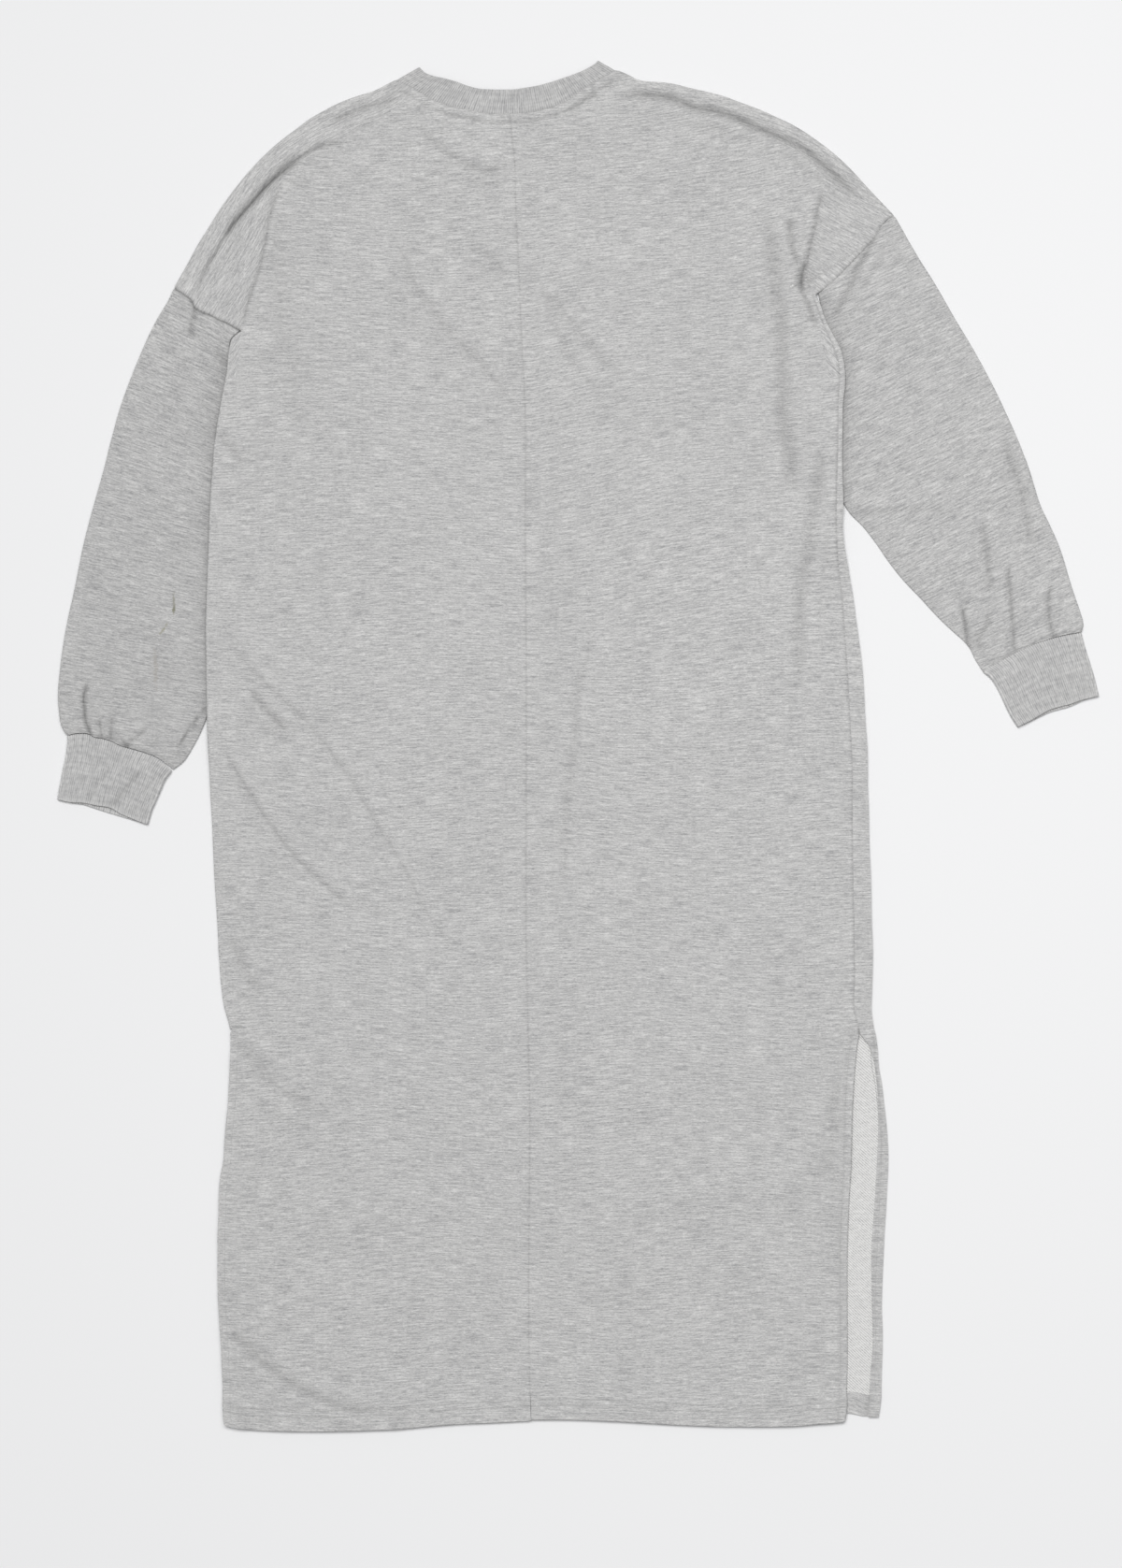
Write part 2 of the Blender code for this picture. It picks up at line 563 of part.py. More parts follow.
def make_back(side):
    left = side == "left"
    if left:
        plan, side_out, shoulder_out = half_panel(
            "left", NECK_CENTRE, LEFT_BACK_NECK, LEFT_BACK_HEM,
            lambda y: np.full(len(y), ROLL), ROLL, lambda y: section("left", y))
    else:
        plan, side_out, shoulder_out = half_panel(
            "right", NECK_CENTRE, RIGHT_BACK_NECK, RIGHT_BACK_HEM,
            lambda y: section("seam_inset", y) + SEAM_GAP, ROLL,
            lambda y: smooth_values(y, BACK_SLIT_EDGE["height"], BACK_SLIT_EDGE["x"]))
    draw_in(plan, left)
    cloth = Cloth(CLOTH)
    grid = lifted(plan, upper_level)
    grid[-1, NECK_COLUMN:, 2] = LOWER + 2 * EDGE_RADIUS
    if left:
        fold = slice(FOLD_START, FOLD_END + 1)
        x = grid[fold, -1, 0]
        y = grid[fold, -1, 1]
        grid[fold, -1, 2] = front_level(x, y) + 2 * EDGE_RADIUS
    numbers = cloth.add(grid, turn_up_extra(plan))
    cloth.join(numbers[:, ::-1] if left else numbers)
    add_shoulder_roll(cloth, numbers, shoulder_out, reverse=left)
    if left:
        edge = numbers[fold, -1]
        top = np.array([cloth.points[k] for k in edge])
        bottom = top.copy()
        bottom[:, 2] -= 2 * EDGE_RADIUS
        outward = side_out[fold]
        columns = roll_between(top, bottom, outward)
        columns.append(bottom)
        wrap = bottom.copy()
        wrap[:, :2] -= outward * UNDER_WRAP
        wrap[:, 2] = front_level(wrap[:, 0], wrap[:, 1])
        columns.append(wrap)
        clear_ends(columns, ((-1, -2),))
        strip = np.concatenate([edge[:, None], cloth.add(np.stack(columns, axis=1))], axis=1)
        cloth.join(strip[:, ::-1])
    return cloth


def draw_in(plan, left):
    """Moves a panel's centre, neck and armhole edges back by half a seam gap."""
    half = SEAM_GAP / 2
    plan[:, 0, 0] += -half if left else half
    neck = plan[-1, : NECK_COLUMN + 1]
    neck_side = beside(neck, towards_left=left)
    plan[-1, : NECK_COLUMN + 1] += neck_side * half
    arm = plan[FOLD_END:, -1]
    plan[FOLD_END:, -1] += beside(arm, towards_left=not left) * half


def make_front():
    under = ROLL + UNDER_WRAP + SEAM_GAP
    left, _, _ = half_panel(
        "left", FRONT_NECK_CENTRE, LEFT_FRONT_NECK, LEFT_FRONT_HEM,
        lambda y: np.full(len(y), under), under, lambda y: section("left", y) + FRONT_INSET)
    right, right_out, _ = half_panel(
        "right", FRONT_NECK_CENTRE, RIGHT_FRONT_NECK, RIGHT_FRONT_HEM,
        lambda y: np.full(len(y), ROLL), under, lambda y: section("right", y))
    draw_in(left, True)
    draw_in(right, False)
    right[:, 0] = (left[:, 0] + right[:, 0]) / 2
    plan = np.concatenate([left[:, :0:-1], right], axis=1)
    cloth = Cloth(CLOTH)
    extra = np.concatenate([turn_up_extra(left)[:, :0:-1], turn_up_extra(right)], axis=1)
    numbers = cloth.add(lifted(plan, front_level), extra)
    cloth.join(numbers[:, ::-1])
    fold = slice(FOLD_START, FOLD_END + 1)
    edge = numbers[fold, -1]
    bottom = np.array([cloth.points[k] for k in edge])
    top = bottom.copy()
    top[:, 2] += 2 * EDGE_RADIUS
    outward = right_out[fold]
    columns = roll_between(top, bottom, outward)[::-1]
    columns.append(top)
    height = bottom[:, 1]
    inset = section("seam_inset", height) - ROLL
    strip_end = top.copy()
    strip_end[:, :2] -= outward * inset[:, None]
    strip_end[:, 2] = upper_level(strip_end[:, 0], strip_end[:, 1])
    columns.append(strip_end)
    clear_ends(columns, ((-1, -2),))
    strip = np.concatenate([edge[:, None], cloth.add(np.stack(columns, axis=1))], axis=1)
    cloth.join(strip[:, ::-1])
    return cloth


# ---- sleeves, cuffs and neck band -------------------------------------------------------


def tube(cloth, top, bottom, first_out, last_out, clockwise):
    """A flattened tube. Rows run along it; each row is closed round its two folded edges."""
    last = roll_between(top[:, -1], bottom[:, -1], last_out)
    first = roll_between(top[:, 0], bottom[:, 0], first_out)[::-1]
    ring = [top[:, k] for k in range(top.shape[1])] + last
    ring += [bottom[:, k] for k in reversed(range(bottom.shape[1]))] + first
    numbers = cloth.add(np.stack(ring, axis=1))
    cloth.join(numbers[:, ::-1] if clockwise else numbers, closed=True)


def make_sleeve(side):
    table = SLEEVES[side]
    left = side == "left"
    armhole, under_out, shoulder_out = armhole_samples(side)
    seam = armhole[::-1].copy()
    outer = path(table["outer"], SLEEVE_ROWS)
    inner = path(table["inner"], SLEEVE_ROWS)
    outer_out = beside(outer, towards_left=not left)
    inner_out = beside(inner, towards_left=left)
    outer_out[0] = shoulder_out
    inner_out[0] = -under_out
    inner[0] = armhole[0] + under_out * UNDERARM_GAP
    outer = outer - outer_out * ROLL
    inner = inner - inner_out * TUCK_ROLL
    seam[0] = outer[0]
    seam[-1] = inner[0]
    cuff = path(table["seam"], np.linspace(0, 1, len(seam)))
    cuff[0] = outer[-1]
    cuff[-1] = inner[-1]
    across = np.linspace(0, 1, len(seam))
    along = np.array(SLEEVE_ROWS)[:, None, None]
    mix = across[None, :, None]
    plan = (1 - mix) * outer[:, None] + mix * inner[:, None]
    plan += (1 - along) ** 2 * (seam[None] - (1 - mix) * seam[0] - mix * seam[-1])
    plan += along**2 * (cuff[None] - (1 - mix) * cuff[0] - mix * cuff[-1])
    plan[0] += beside(plan[0], towards_left=not left) * SEAM_GAP / 2
    plan[-1] += beside(plan[-1], towards_left=left) * SEAM_GAP / 2
    top = lifted(plan, lambda x, y: sleeve_level(side, x, y))
    top[:, 0, 2] = LOWER + 2 * EDGE_RADIUS
    top[:, -1, 2] = LOWER + 2 * TUCK_RADIUS
    bottom = lifted(plan, LOWER)
    cloth = Cloth(CLOTH)
    tube(cloth, top, bottom, outer_out, inner_out, clockwise=left)
    return cloth


def sleeve_level(side, x, y):
    """Middle surface of a sleeve's upper layer, lifted beside its outer folded edge."""
    line = OUTLINES[side][1]
    roll_height = LOWER + 2 * EDGE_RADIUS - UPPER
    near = distance_to(line, x, y) - ROLL
    return UPPER + roll_height * fade(near / ROLL_REACH)


def make_cuff(side):
    table = SLEEVES[side]
    left = side == "left"
    across = np.linspace(0, 1, len(ARMHOLE_ROWS))
    outer = path(table["cuff_outer"], CUFF_ROWS)
    inner = path(table["cuff_inner"], CUFF_ROWS)
    outer_out = beside(outer, towards_left=not left)
    inner_out = beside(inner, towards_left=left)
    outer = outer - outer_out * BAND_REACH
    inner = inner - inner_out * BAND_REACH
    seam = path(table["seam"], across)
    end = path(table["end"], across)
    for line, row in ((seam, 0), (end, -1)):
        line[0] = outer[row]
        line[-1] = inner[row]
    along = np.array(CUFF_ROWS)[:, None, None]
    mix = across[None, :, None]
    plan = (1 - mix) * outer[:, None] + mix * inner[:, None]
    plan += (1 - along) * (seam[None] - (1 - mix) * seam[0] - mix * seam[-1])
    plan += along * (end[None] - (1 - mix) * end[0] - mix * end[-1])
    plan[0] += beside(plan[0], towards_left=not left) * SEAM_GAP / 2
    top = lifted(plan, RIB_LOWER + 2 * RIB_RADIUS)
    bottom = lifted(plan, RIB_LOWER)
    cloth = Cloth(RIB)
    tube(cloth, top, bottom, outer_out, inner_out, clockwise=left)
    return cloth


def make_neck_rib():
    """The band's back half lies on top, from left to right; its front half on the floor."""
    columns = np.array(COLUMNS, float)
    neck_columns = columns[columns >= NECK_POINT]
    along = (HALF_WIDTH - neck_columns) / (HALF_WIDTH - NECK_POINT)

    def both(left, right):
        return np.concatenate([path(left, along)[::-1], path(right, along)[1:]])

    left_out = unit(LEFT_NECK_OUTWARD)
    right_out = unit(RIGHT_NECK_OUTWARD)
    rows = np.array([0, 0.5, 1])[:, None, None]
    top_low = both(LEFT_BACK_NECK, RIGHT_BACK_NECK)
    top_high = both(LEFT_BAND_EDGE, RIGHT_BAND_EDGE)
    under_low = both(LEFT_FRONT_NECK, RIGHT_FRONT_NECK)
    under_high = both(LEFT_FRONT_BAND_EDGE, RIGHT_FRONT_BAND_EDGE)
    for line in (top_low, under_low):
        line[0] = np.array(LEFT_SHOULDER[0]) - left_out * BAND_REACH
        line[-1] = np.array(RIGHT_SHOULDER[0]) - right_out * BAND_REACH
    for line in (top_high, under_high):
        line[0] = np.array(LEFT_BAND_EDGE[-1]) - left_out * BAND_REACH
        line[-1] = np.array(RIGHT_BAND_EDGE[-1]) - right_out * BAND_REACH
    top_plan = (1 - rows) * top_low + rows * top_high
    under_plan = (1 - rows) * under_low + rows * under_high
    for plan in (top_plan, under_plan):
        plan[0] += beside(plan[0], towards_left=True) * SEAM_GAP / 2
    top = lifted(top_plan, RIB_LOWER + 2 * RIB_RADIUS)
    bottom = lifted(under_plan, RIB_LOWER)
    first = np.repeat(left_out[None], 3, 0)
    last = np.repeat(right_out[None], 3, 0)
    cloth = Cloth(RIB)
    tube(cloth, top, bottom, first, last, clockwise=False)
    return cloth


def clear_scene():
    for thing in list(bpy.data.objects):
        bpy.data.objects.remove(thing, do_unlink=True)


def main():
    clear_scene()
    jersey = (0.50, 0.50, 0.50)
    ribbing = (0.47, 0.47, 0.47)
    make_object("front", make_front(), jersey)
    make_object("back_left", make_back("left"), jersey)
    make_object("back_right", make_back("right"), jersey)
    for side in ("left", "right"):
        make_object("sleeve_" + side, make_sleeve(side), jersey)
        make_object("cuff_" + side, make_cuff(side), ribbing)
    make_object("neck_rib", make_neck_rib(), ribbing)


main()
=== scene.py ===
"""The looks of a jumper dress in marled loop-back jersey, laid flat with its back up.

Lengths in the tables are millimetres in the row frame: +Y runs from the hem to the neck, +Z up
from the floor, and left and right are as seen from above. Each piece is a thin closed wall on the
middle surface of its cloth, so the face shows outside, the reverse inside, and turned-up edges
show the face again.
"""

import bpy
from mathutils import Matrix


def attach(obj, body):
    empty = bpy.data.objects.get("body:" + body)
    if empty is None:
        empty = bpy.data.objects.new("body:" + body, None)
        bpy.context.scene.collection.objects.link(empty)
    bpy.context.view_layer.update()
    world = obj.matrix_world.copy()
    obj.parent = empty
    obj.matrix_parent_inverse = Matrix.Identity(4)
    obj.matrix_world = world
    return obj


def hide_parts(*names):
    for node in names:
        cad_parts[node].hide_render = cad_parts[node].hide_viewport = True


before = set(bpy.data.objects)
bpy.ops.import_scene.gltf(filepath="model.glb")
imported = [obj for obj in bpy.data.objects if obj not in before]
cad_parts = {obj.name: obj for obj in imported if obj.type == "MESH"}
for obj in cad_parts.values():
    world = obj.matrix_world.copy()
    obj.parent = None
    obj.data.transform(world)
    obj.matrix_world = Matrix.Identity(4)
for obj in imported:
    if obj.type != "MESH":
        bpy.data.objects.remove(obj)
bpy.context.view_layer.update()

from collections import namedtuple

import bpy
import numpy as np
from mathutils import Vector

MM = 0.001
ENDLESS = 1e6               # a distance past everything
SIDES = ("left", "right")
INWARD = {"left": 1, "right": -1}       # towards the dress's middle, along X

# ---- cloth, layers and folds --------------------------------------------------------------------

CLOTH = 0.9                 # thickness of the jersey
RIB = 1.5                   # thickness of the doubled rib
RIB_RELIEF = 0.2            # ribs above and below that
RIB_PITCH = 2.1
SEAM_GAP = 0.25
SEAM_DRAW = 0.15            # half the gap that the panels keep at a seam
SEAM_WIDTH = 0.9            # of the groove at a seam
LAYER_GAP = 0.12            # least gap between two layers
EDGE_RADIUS = 1.35          # folded edges of body and sleeves
TUCK_RADIUS = 0.7           # the sleeves' inner edges, pressed under the body
RIB_RADIUS = 1.15
HEM_RADIUS = 0.52           # turned-up edges
ROLL_STEPS = 6
ROLL = EDGE_RADIUS + CLOTH / 2
TUCK_ROLL = TUCK_RADIUS + CLOTH / 2
RIB_ROLL = RIB_RADIUS + RIB / 2
HEM_ROLL = HEM_RADIUS + CLOTH / 2
HEM_DEPTH = 20.0
HEM_STITCHES = (13.1, 18.5)     # the two rows' distances from the hem's edge
SLIT_TURN = 10.5
FRONT_INSET = 1.5           # the front's left slit edge, inside the back's
UNDER_WRAP = 4.0            # the back's cloth that goes on under the front, past the fold
UNDERARM_GAP = 1.2          # from the body's underarm to the sleeve's
BAND_HEIGHT = 21.0          # of the neck band
NECK_STITCH = 8.2           # the neck seam's allowance is stitched down this far below it

# Levels of the middle of the cloth
FLOOR_LEVEL = CLOTH / 2     # the cloth that lies on the floor
UPPER_LEVEL = 3.5           # the upper layer, away from edges and creases
SLEEVE_LEVEL = 4.4          # the same on the sleeves, which are narrower and puff up more
RIB_LOWER = RIB / 2 + RIB_RELIEF
RIB_UPPER = RIB_LOWER + 2 * RIB_RADIUS
EDGE_LEVEL = FLOOR_LEVEL + 2 * EDGE_RADIUS
TUCK_LEVEL = FLOOR_LEVEL + 2 * TUCK_RADIUS
TUCK_RISE = 2.45            # how far the body rises over the sleeves that go under it
FRONT_REACH = (18.0, 34.0)  # full rise, and none, this far inside the body's edge
BACK_REACH = (22.0, 52.0)
TUCK_HEIGHTS = {
    # none and full rise at the underarm, full and none where the sleeve comes out again
    "left": (372.0, 356.0, -5.0, -70.0),
    "right": (412.0, 398.0, 196.0, 130.0),
}

# Painted light and shade in the cloth's colour, as shares
EDGE_PAINTED_LIGHT = 0.07           # painted light: how much darker than a turned-up edge the plain cloth is painted
CUFF_EDGE_PAINTED_LIGHT = 0.13      # the same painted light between a cuff's folded edges and its middle
# painted shade: the share of its colour each sleeve keeps as a whole
SLEEVE_PAINTED_SHADE_KEPT = {"left": 0.93, "right": 0.965}

# ---- grids --------------------------------------------------------------------------------------

BACK_STEP = 3.0
FRONT_STEP = 4.6
SLEEVE_STEP = 2.8
HALF_WIDTH = 300.0          # nominal; columns are distances from a panel's side, out of this
NECK_POINT = 200.0          # the column at the neck's corner
ARMHOLE_LENGTH = 180.0      # nominal
SLIT_ROWS = 352.0           # nominal height of the slits
FINE = np.array([0, 0.5, 1.1, 1.8, 2.7, 3.9, 5.5, 7.5, 10.0])
HEM_ROWS = np.array([0, 0.5, 1.1, 1.8, 2.7, 3.9, 5.5, 7.5, 9.8, 11.4, 12.4, 13.1, 13.8, 15,
                     16.6, 17.8, 18.5, 19.2, 20.3, 21.8])
HEM_STRIP = np.array([0, 2.5, 5.5, 9, 12.5, 16, HEM_DEPTH - HEM_ROLL])
CUFF_END_ROWS = np.array([13.8, 11.8, 10, 8.4, 7, 5.8, 4.8, 3.9, 3.1, 2.4, 1.8, 1.2, 0.7, 0.3, 0])
RIB_END_ROWS = np.array([0, 0.07, 0.26, 0.55])      # rows that round off a rib's folded edge

# ---- outlines and seams, each running away from the hem or away from the centre -----------------

SLIT_TOP = -250.0
SIDE_TOP = 322.0
SLIT_KNOT = (251.0, -253.0)     # where the right side seam ends in the slit
NECK_OUTWARD = {"left": (-0.47, 0.88), "right": (0.36, 0.93)}

# The body's folded sides, from the hem to the underarm
EDGE = {
    "left": ((-314.3, -605.4), (-315.4, -595.4), (-316, -582.9), (-316.5, -566.2), (-317.2, -549.6),
             (-317.8, -532.9), (-319.1, -516.2), (-320.1, -499.6), (-320.8, -482.9),
             (-320.8, -449.6), (-320.8, -432.9), (-320, -416.2), (-319.9, -399.6), (-318.6, -382.9),
             (-315.5, -366.2), (-314.8, -349.6), (-313.2, -332.9), (-311.6, -316.2),
             (-310.8, -299.6), (-309.9, -282.9), (-309.3, -266.2), (-309.9, -249.6),
             (-311.4, -242.9), (-314.4, -232.9), (-317.1, -216.2), (-319.6, -182.9),
             (-321.4, -149.6), (-323.6, -116.2), (-325.1, -82.9), (-325.8, -66.2), (-326.8, -49.6),
             (-327.5, -32.9), (-328.1, -16.2), (-329.3, 0.4), (-330.1, 26), (-330.6, 55),
             (-331, 83.8), (-331.2, 110.8), (-330.5, 138.8), (-329.4, 166.7), (-328.4, 194.6),
             (-327.2, 222.4), (-325.4, 248.8), (-322.9, 275.4), (-317.9, 307.1), (-312.1, 338.8)),
    "right": ((269.5, -595.4), (271.2, -582.9), (272, -566.2), (272.5, -549.6), (273, -532.9),
              (273, -516.2), (272.3, -499.6), (272.6, -482.9), (274, -449.6), (274.7, -432.9),
              (275.9, -416.2), (276.7, -399.6), (277.6, -382.9), (278.2, -366.2), (277.7, -349.6),
              (276.3, -332.9), (274.4, -316.2), (272.5, -299.6), (269.5, -282.9), (268.2, -266.2),
              (265.9, -249.6), (263.7, -232.9), (264.1, -216.2), (264.9, -182.9), (263.8, -149.6),
              (263.2, -116.2), (261.7, -82.9), (261.5, -66.2), (261.1, -49.6), (260.4, -32.9),
              (260.4, -16.2), (260.1, 0.4), (258.9, 17.1), (257.8, 33.8), (257.1, 50.4),
              (256, 67.1), (254.3, 83.8), (252.2, 100.4), (249.8, 117.1), (247.7, 133.8),
              (244.9, 150.4), (242, 167.1), (238.8, 183.8), (237.5, 200.4), (238.4, 216.6),
              (237.9, 233.8), (237.5, 258.8), (237.9, 287.2), (238.4, 310.6), (240, 323.4)),
}
# From there round the underarm to the armhole
UNDERARM = {
    "left": ((-315.1, 322), (-312.1, 338.8), (-311.8, 343.6), (-310, 358.2), (-307.7, 365.8),
             (-302.9, 369.8), (-299.8, 372.3)),
    "right": ((240, 322), (239.4, 340.4), (236.2, 355.2), (228.8, 370.2), (222.4, 382.9),
              (217.9, 396.7), (213.5, 405.4)),
}
# The shoulder's fold, from the neck to the armhole
SHOULDER = {
    "left": ((-159.6, 596.7), (-166.2, 594.2), (-177.1, 587.9), (-183, 585.4), (-194.2, 582.1),
             (-203.8, 578.8), (-212.3, 575.4), (-219.2, 572.1), (-225.7, 568.8), (-237.3, 562.1),
             (-253.1, 550.4), (-263.8, 542.3), (-273.6, 533.8), (-290.2, 517.1), (-304, 500.4),
             (-316.1, 483.8), (-326.8, 467.1), (-337.4, 450.4), (-346.4, 433.8), (-359.6, 410.4)),
    "right": ((32.9, 605), (39.8, 603.5), (47.3, 599.7), (54.9, 595.8), (63.1, 594.2),
              (72.9, 593.6), (84.9, 592.1), (99.3, 588.8), (114.8, 585.4), (127.3, 582.1),
              (145.8, 575.4), (163.8, 568.8), (178.3, 562.1), (192.3, 555.4), (212.5, 542.1),
              (223.8, 533.8), (242.7, 517.1), (258.5, 500.4), (274.3, 483.8), (282.9, 474.6)),
}
# The armhole seam, from the underarm to the shoulder
ARMHOLE = {
    "left": ((-299.8, 372.3), (-305.9, 375.2), (-311.2, 378.3), (-320.2, 382.1), (-327.7, 386.2),
             (-335.1, 389.1), (-340.3, 392.1), (-343.8, 398.6), (-347.8, 402.5), (-352.2, 405.4),
             (-357.4, 408.8), (-359.6, 410.4)),
    "right": ((213.5, 405.4), (222.9, 412.1), (231.5, 419.6), (240, 428.2), (250.2, 439.2),
              (258.8, 448.8), (265.5, 456.2), (268.9, 462.1), (271.5, 466.4), (274.8, 469.8),
              (277.4, 472.3), (282.9, 474.6)),
}
# The back's neck seam and the band's folded edge above it
NECK_SEAM = {
    "left": ((-59.9, 566.8), (-78.8, 567.1), (-86.4, 568.1), (-96.2, 570), (-105.1, 571.8),
             (-112.2, 573.3), (-119.7, 575.7), (-127.1, 578.3), (-136.7, 583.9), (-145.8, 589.2),
             (-159.6, 596.7)),
    "right": ((-59.9, 566.8), (-47.9, 567.6), (-39.1, 568.8), (-30.4, 570.6), (-20.4, 573.7),
              (-10, 578.2), (-1.2, 584.2), (10.4, 592.2), (18.8, 597.1), (32.9, 605)),
}
BAND_EDGE = {
    "left": ((-59.9, 588), (-75.4, 588), (-87.9, 588.8), (-97.3, 591.1), (-108, 595),
             (-119.7, 598.2), (-128.2, 600.1), (-134.6, 602.5), (-140.4, 607.6)),
    "right": ((-59.9, 588), (-56.2, 588.2), (-47.6, 589.5), (-36.5, 591.4), (-23.8, 594.8),
              (-13.8, 598.2), (-5.1, 601.2), (3.4, 604.6), (11.9, 609.2), (18.1, 613.4)),
}
# The same on the front
FRONT_NECK_SEAM = {
    "left": ((-60, 509), (-84, 512.5), (-112, 526), (-135, 548), (-147, 568), (-156, 590)),
    "right": ((-60, 509), (-36, 513), (-8, 527), (15, 550), (25, 572), (30, 598)),
}
FRONT_BAND_EDGE = {
    "left": ((-60, 531.5), (-78, 534), (-99, 545), (-117, 562), (-127, 580), (-137, 601)),
    "right": ((-60, 531.5), (-42, 534), (-21, 546), (-4, 563), (6, 582), (15, 607)),
}
# The folded edges of the back's and the front's hem
HEM = {
    "left": ((-41.2, -599.4), (-68.8, -600.9), (-102.3, -602.3), (-135.8, -604.8), (-158.2, -606.8),
             (-191.7, -608.2), (-222.9, -609), (-258.8, -608.8), (-292.1, -607.5), (-307.9, -605.3),
             (-314.3, -604)),
    "right": ((-41.2, -598.6), (-14.6, -598.5), (2.1, -598.8), (31.2, -599.8), (60.4, -601.5),
              (89.6, -603.3), (120.4, -604.5), (160.4, -604.8), (195.4, -604.1), (221.2, -601.9),
              (237.9, -600.3)),
}
FRONT_HEM_LINE = {
    "left": ((-41, -594), (-158, -600), (-250, -602.5), (-312.5, -604)),
    "right": ((-41, -594), (100, -596), (195, -595.5), (235, -593.5), (246.7, -594.1),
              (253, -595.8), (258.5, -596.3), (269.5, -597.1)),
}
# The centre back seam, the right side seam, the right back's slit edge, and the inner edge of the
# front's slit turn-up
BACK_SEAM = ((-41.2, -601), (-42.1, -571.2), (-43.2, -499.6), (-42.7, -416.2), (-42.1, -332.9),
             (-43.8, -249.6), (-45.4, -166.2), (-45.4, -41.2), (-45.4, 83.8), (-46.2, 200.4),
             (-46.2, 296.2), (-49.6, 367.1), (-52.1, 423.8), (-53.4, 455.4), (-55, 488.8),
             (-55.7, 522.1), (-58.3, 544.6), (-59.9, 566.8))
RIGHT_SEAM = ((251.6, -253.8), (250.7, -246.2), (248.4, -239.6), (247.6, -199.6), (247.1, -166.2),
              (245.9, -107.9), (245.4, -49.6), (245.4, -15.4), (243.4, 25.4), (241.2, 65.4),
              (238.8, 100.4), (236.2, 136.2), (232.7, 166.2), (231.2, 196.2), (231.2, 227.1),
              (231.8, 250.4), (232.4, 270), (232.6, 291.5), (232.8, 311.2), (234, 330), (232, 349),
              (226, 364), (220, 377), (214.5, 392), (210.1, 403))
BACK_SLIT_EDGE = ((237.9, -601.7), (239.9, -587.9), (239.9, -572.1), (240.4, -561.7),
                  (240.7, -495.4), (240.7, -455.4), (241.8, -415.4), (243.9, -375.4),
                  (245.2, -322.6), (247.8, -282.7), (250.4, -260.1), (251.6, -253.8))
FRONT_SLIT_INNER = ((259.8, -596.2), (261.2, -561.7), (263.2, -535.2), (262.5, -482.1),
                    (262.5, -442.1), (264.5, -415.4), (266.9, -375.4), (268.4, -335.8),
                    (266.7, -296), (262.8, -272.1), (258.5, -262), (254, -257), (252, -254))
FRONT_SLIT_PAINTED_SHADE = (
    # height, distance from the slit's edge, share of colour painted darker there as shade
    (-600, 9.0, 0.04), (-420, 9.0, 0.067), (-400, 8.8, 0.07), (-380, 8.6, 0.0933),
    (-340, 6.12, 0.14), (-330, 5.5, 0.1426), (-290, 4.2, 0.1528), (-262, 3.2, 0.16))
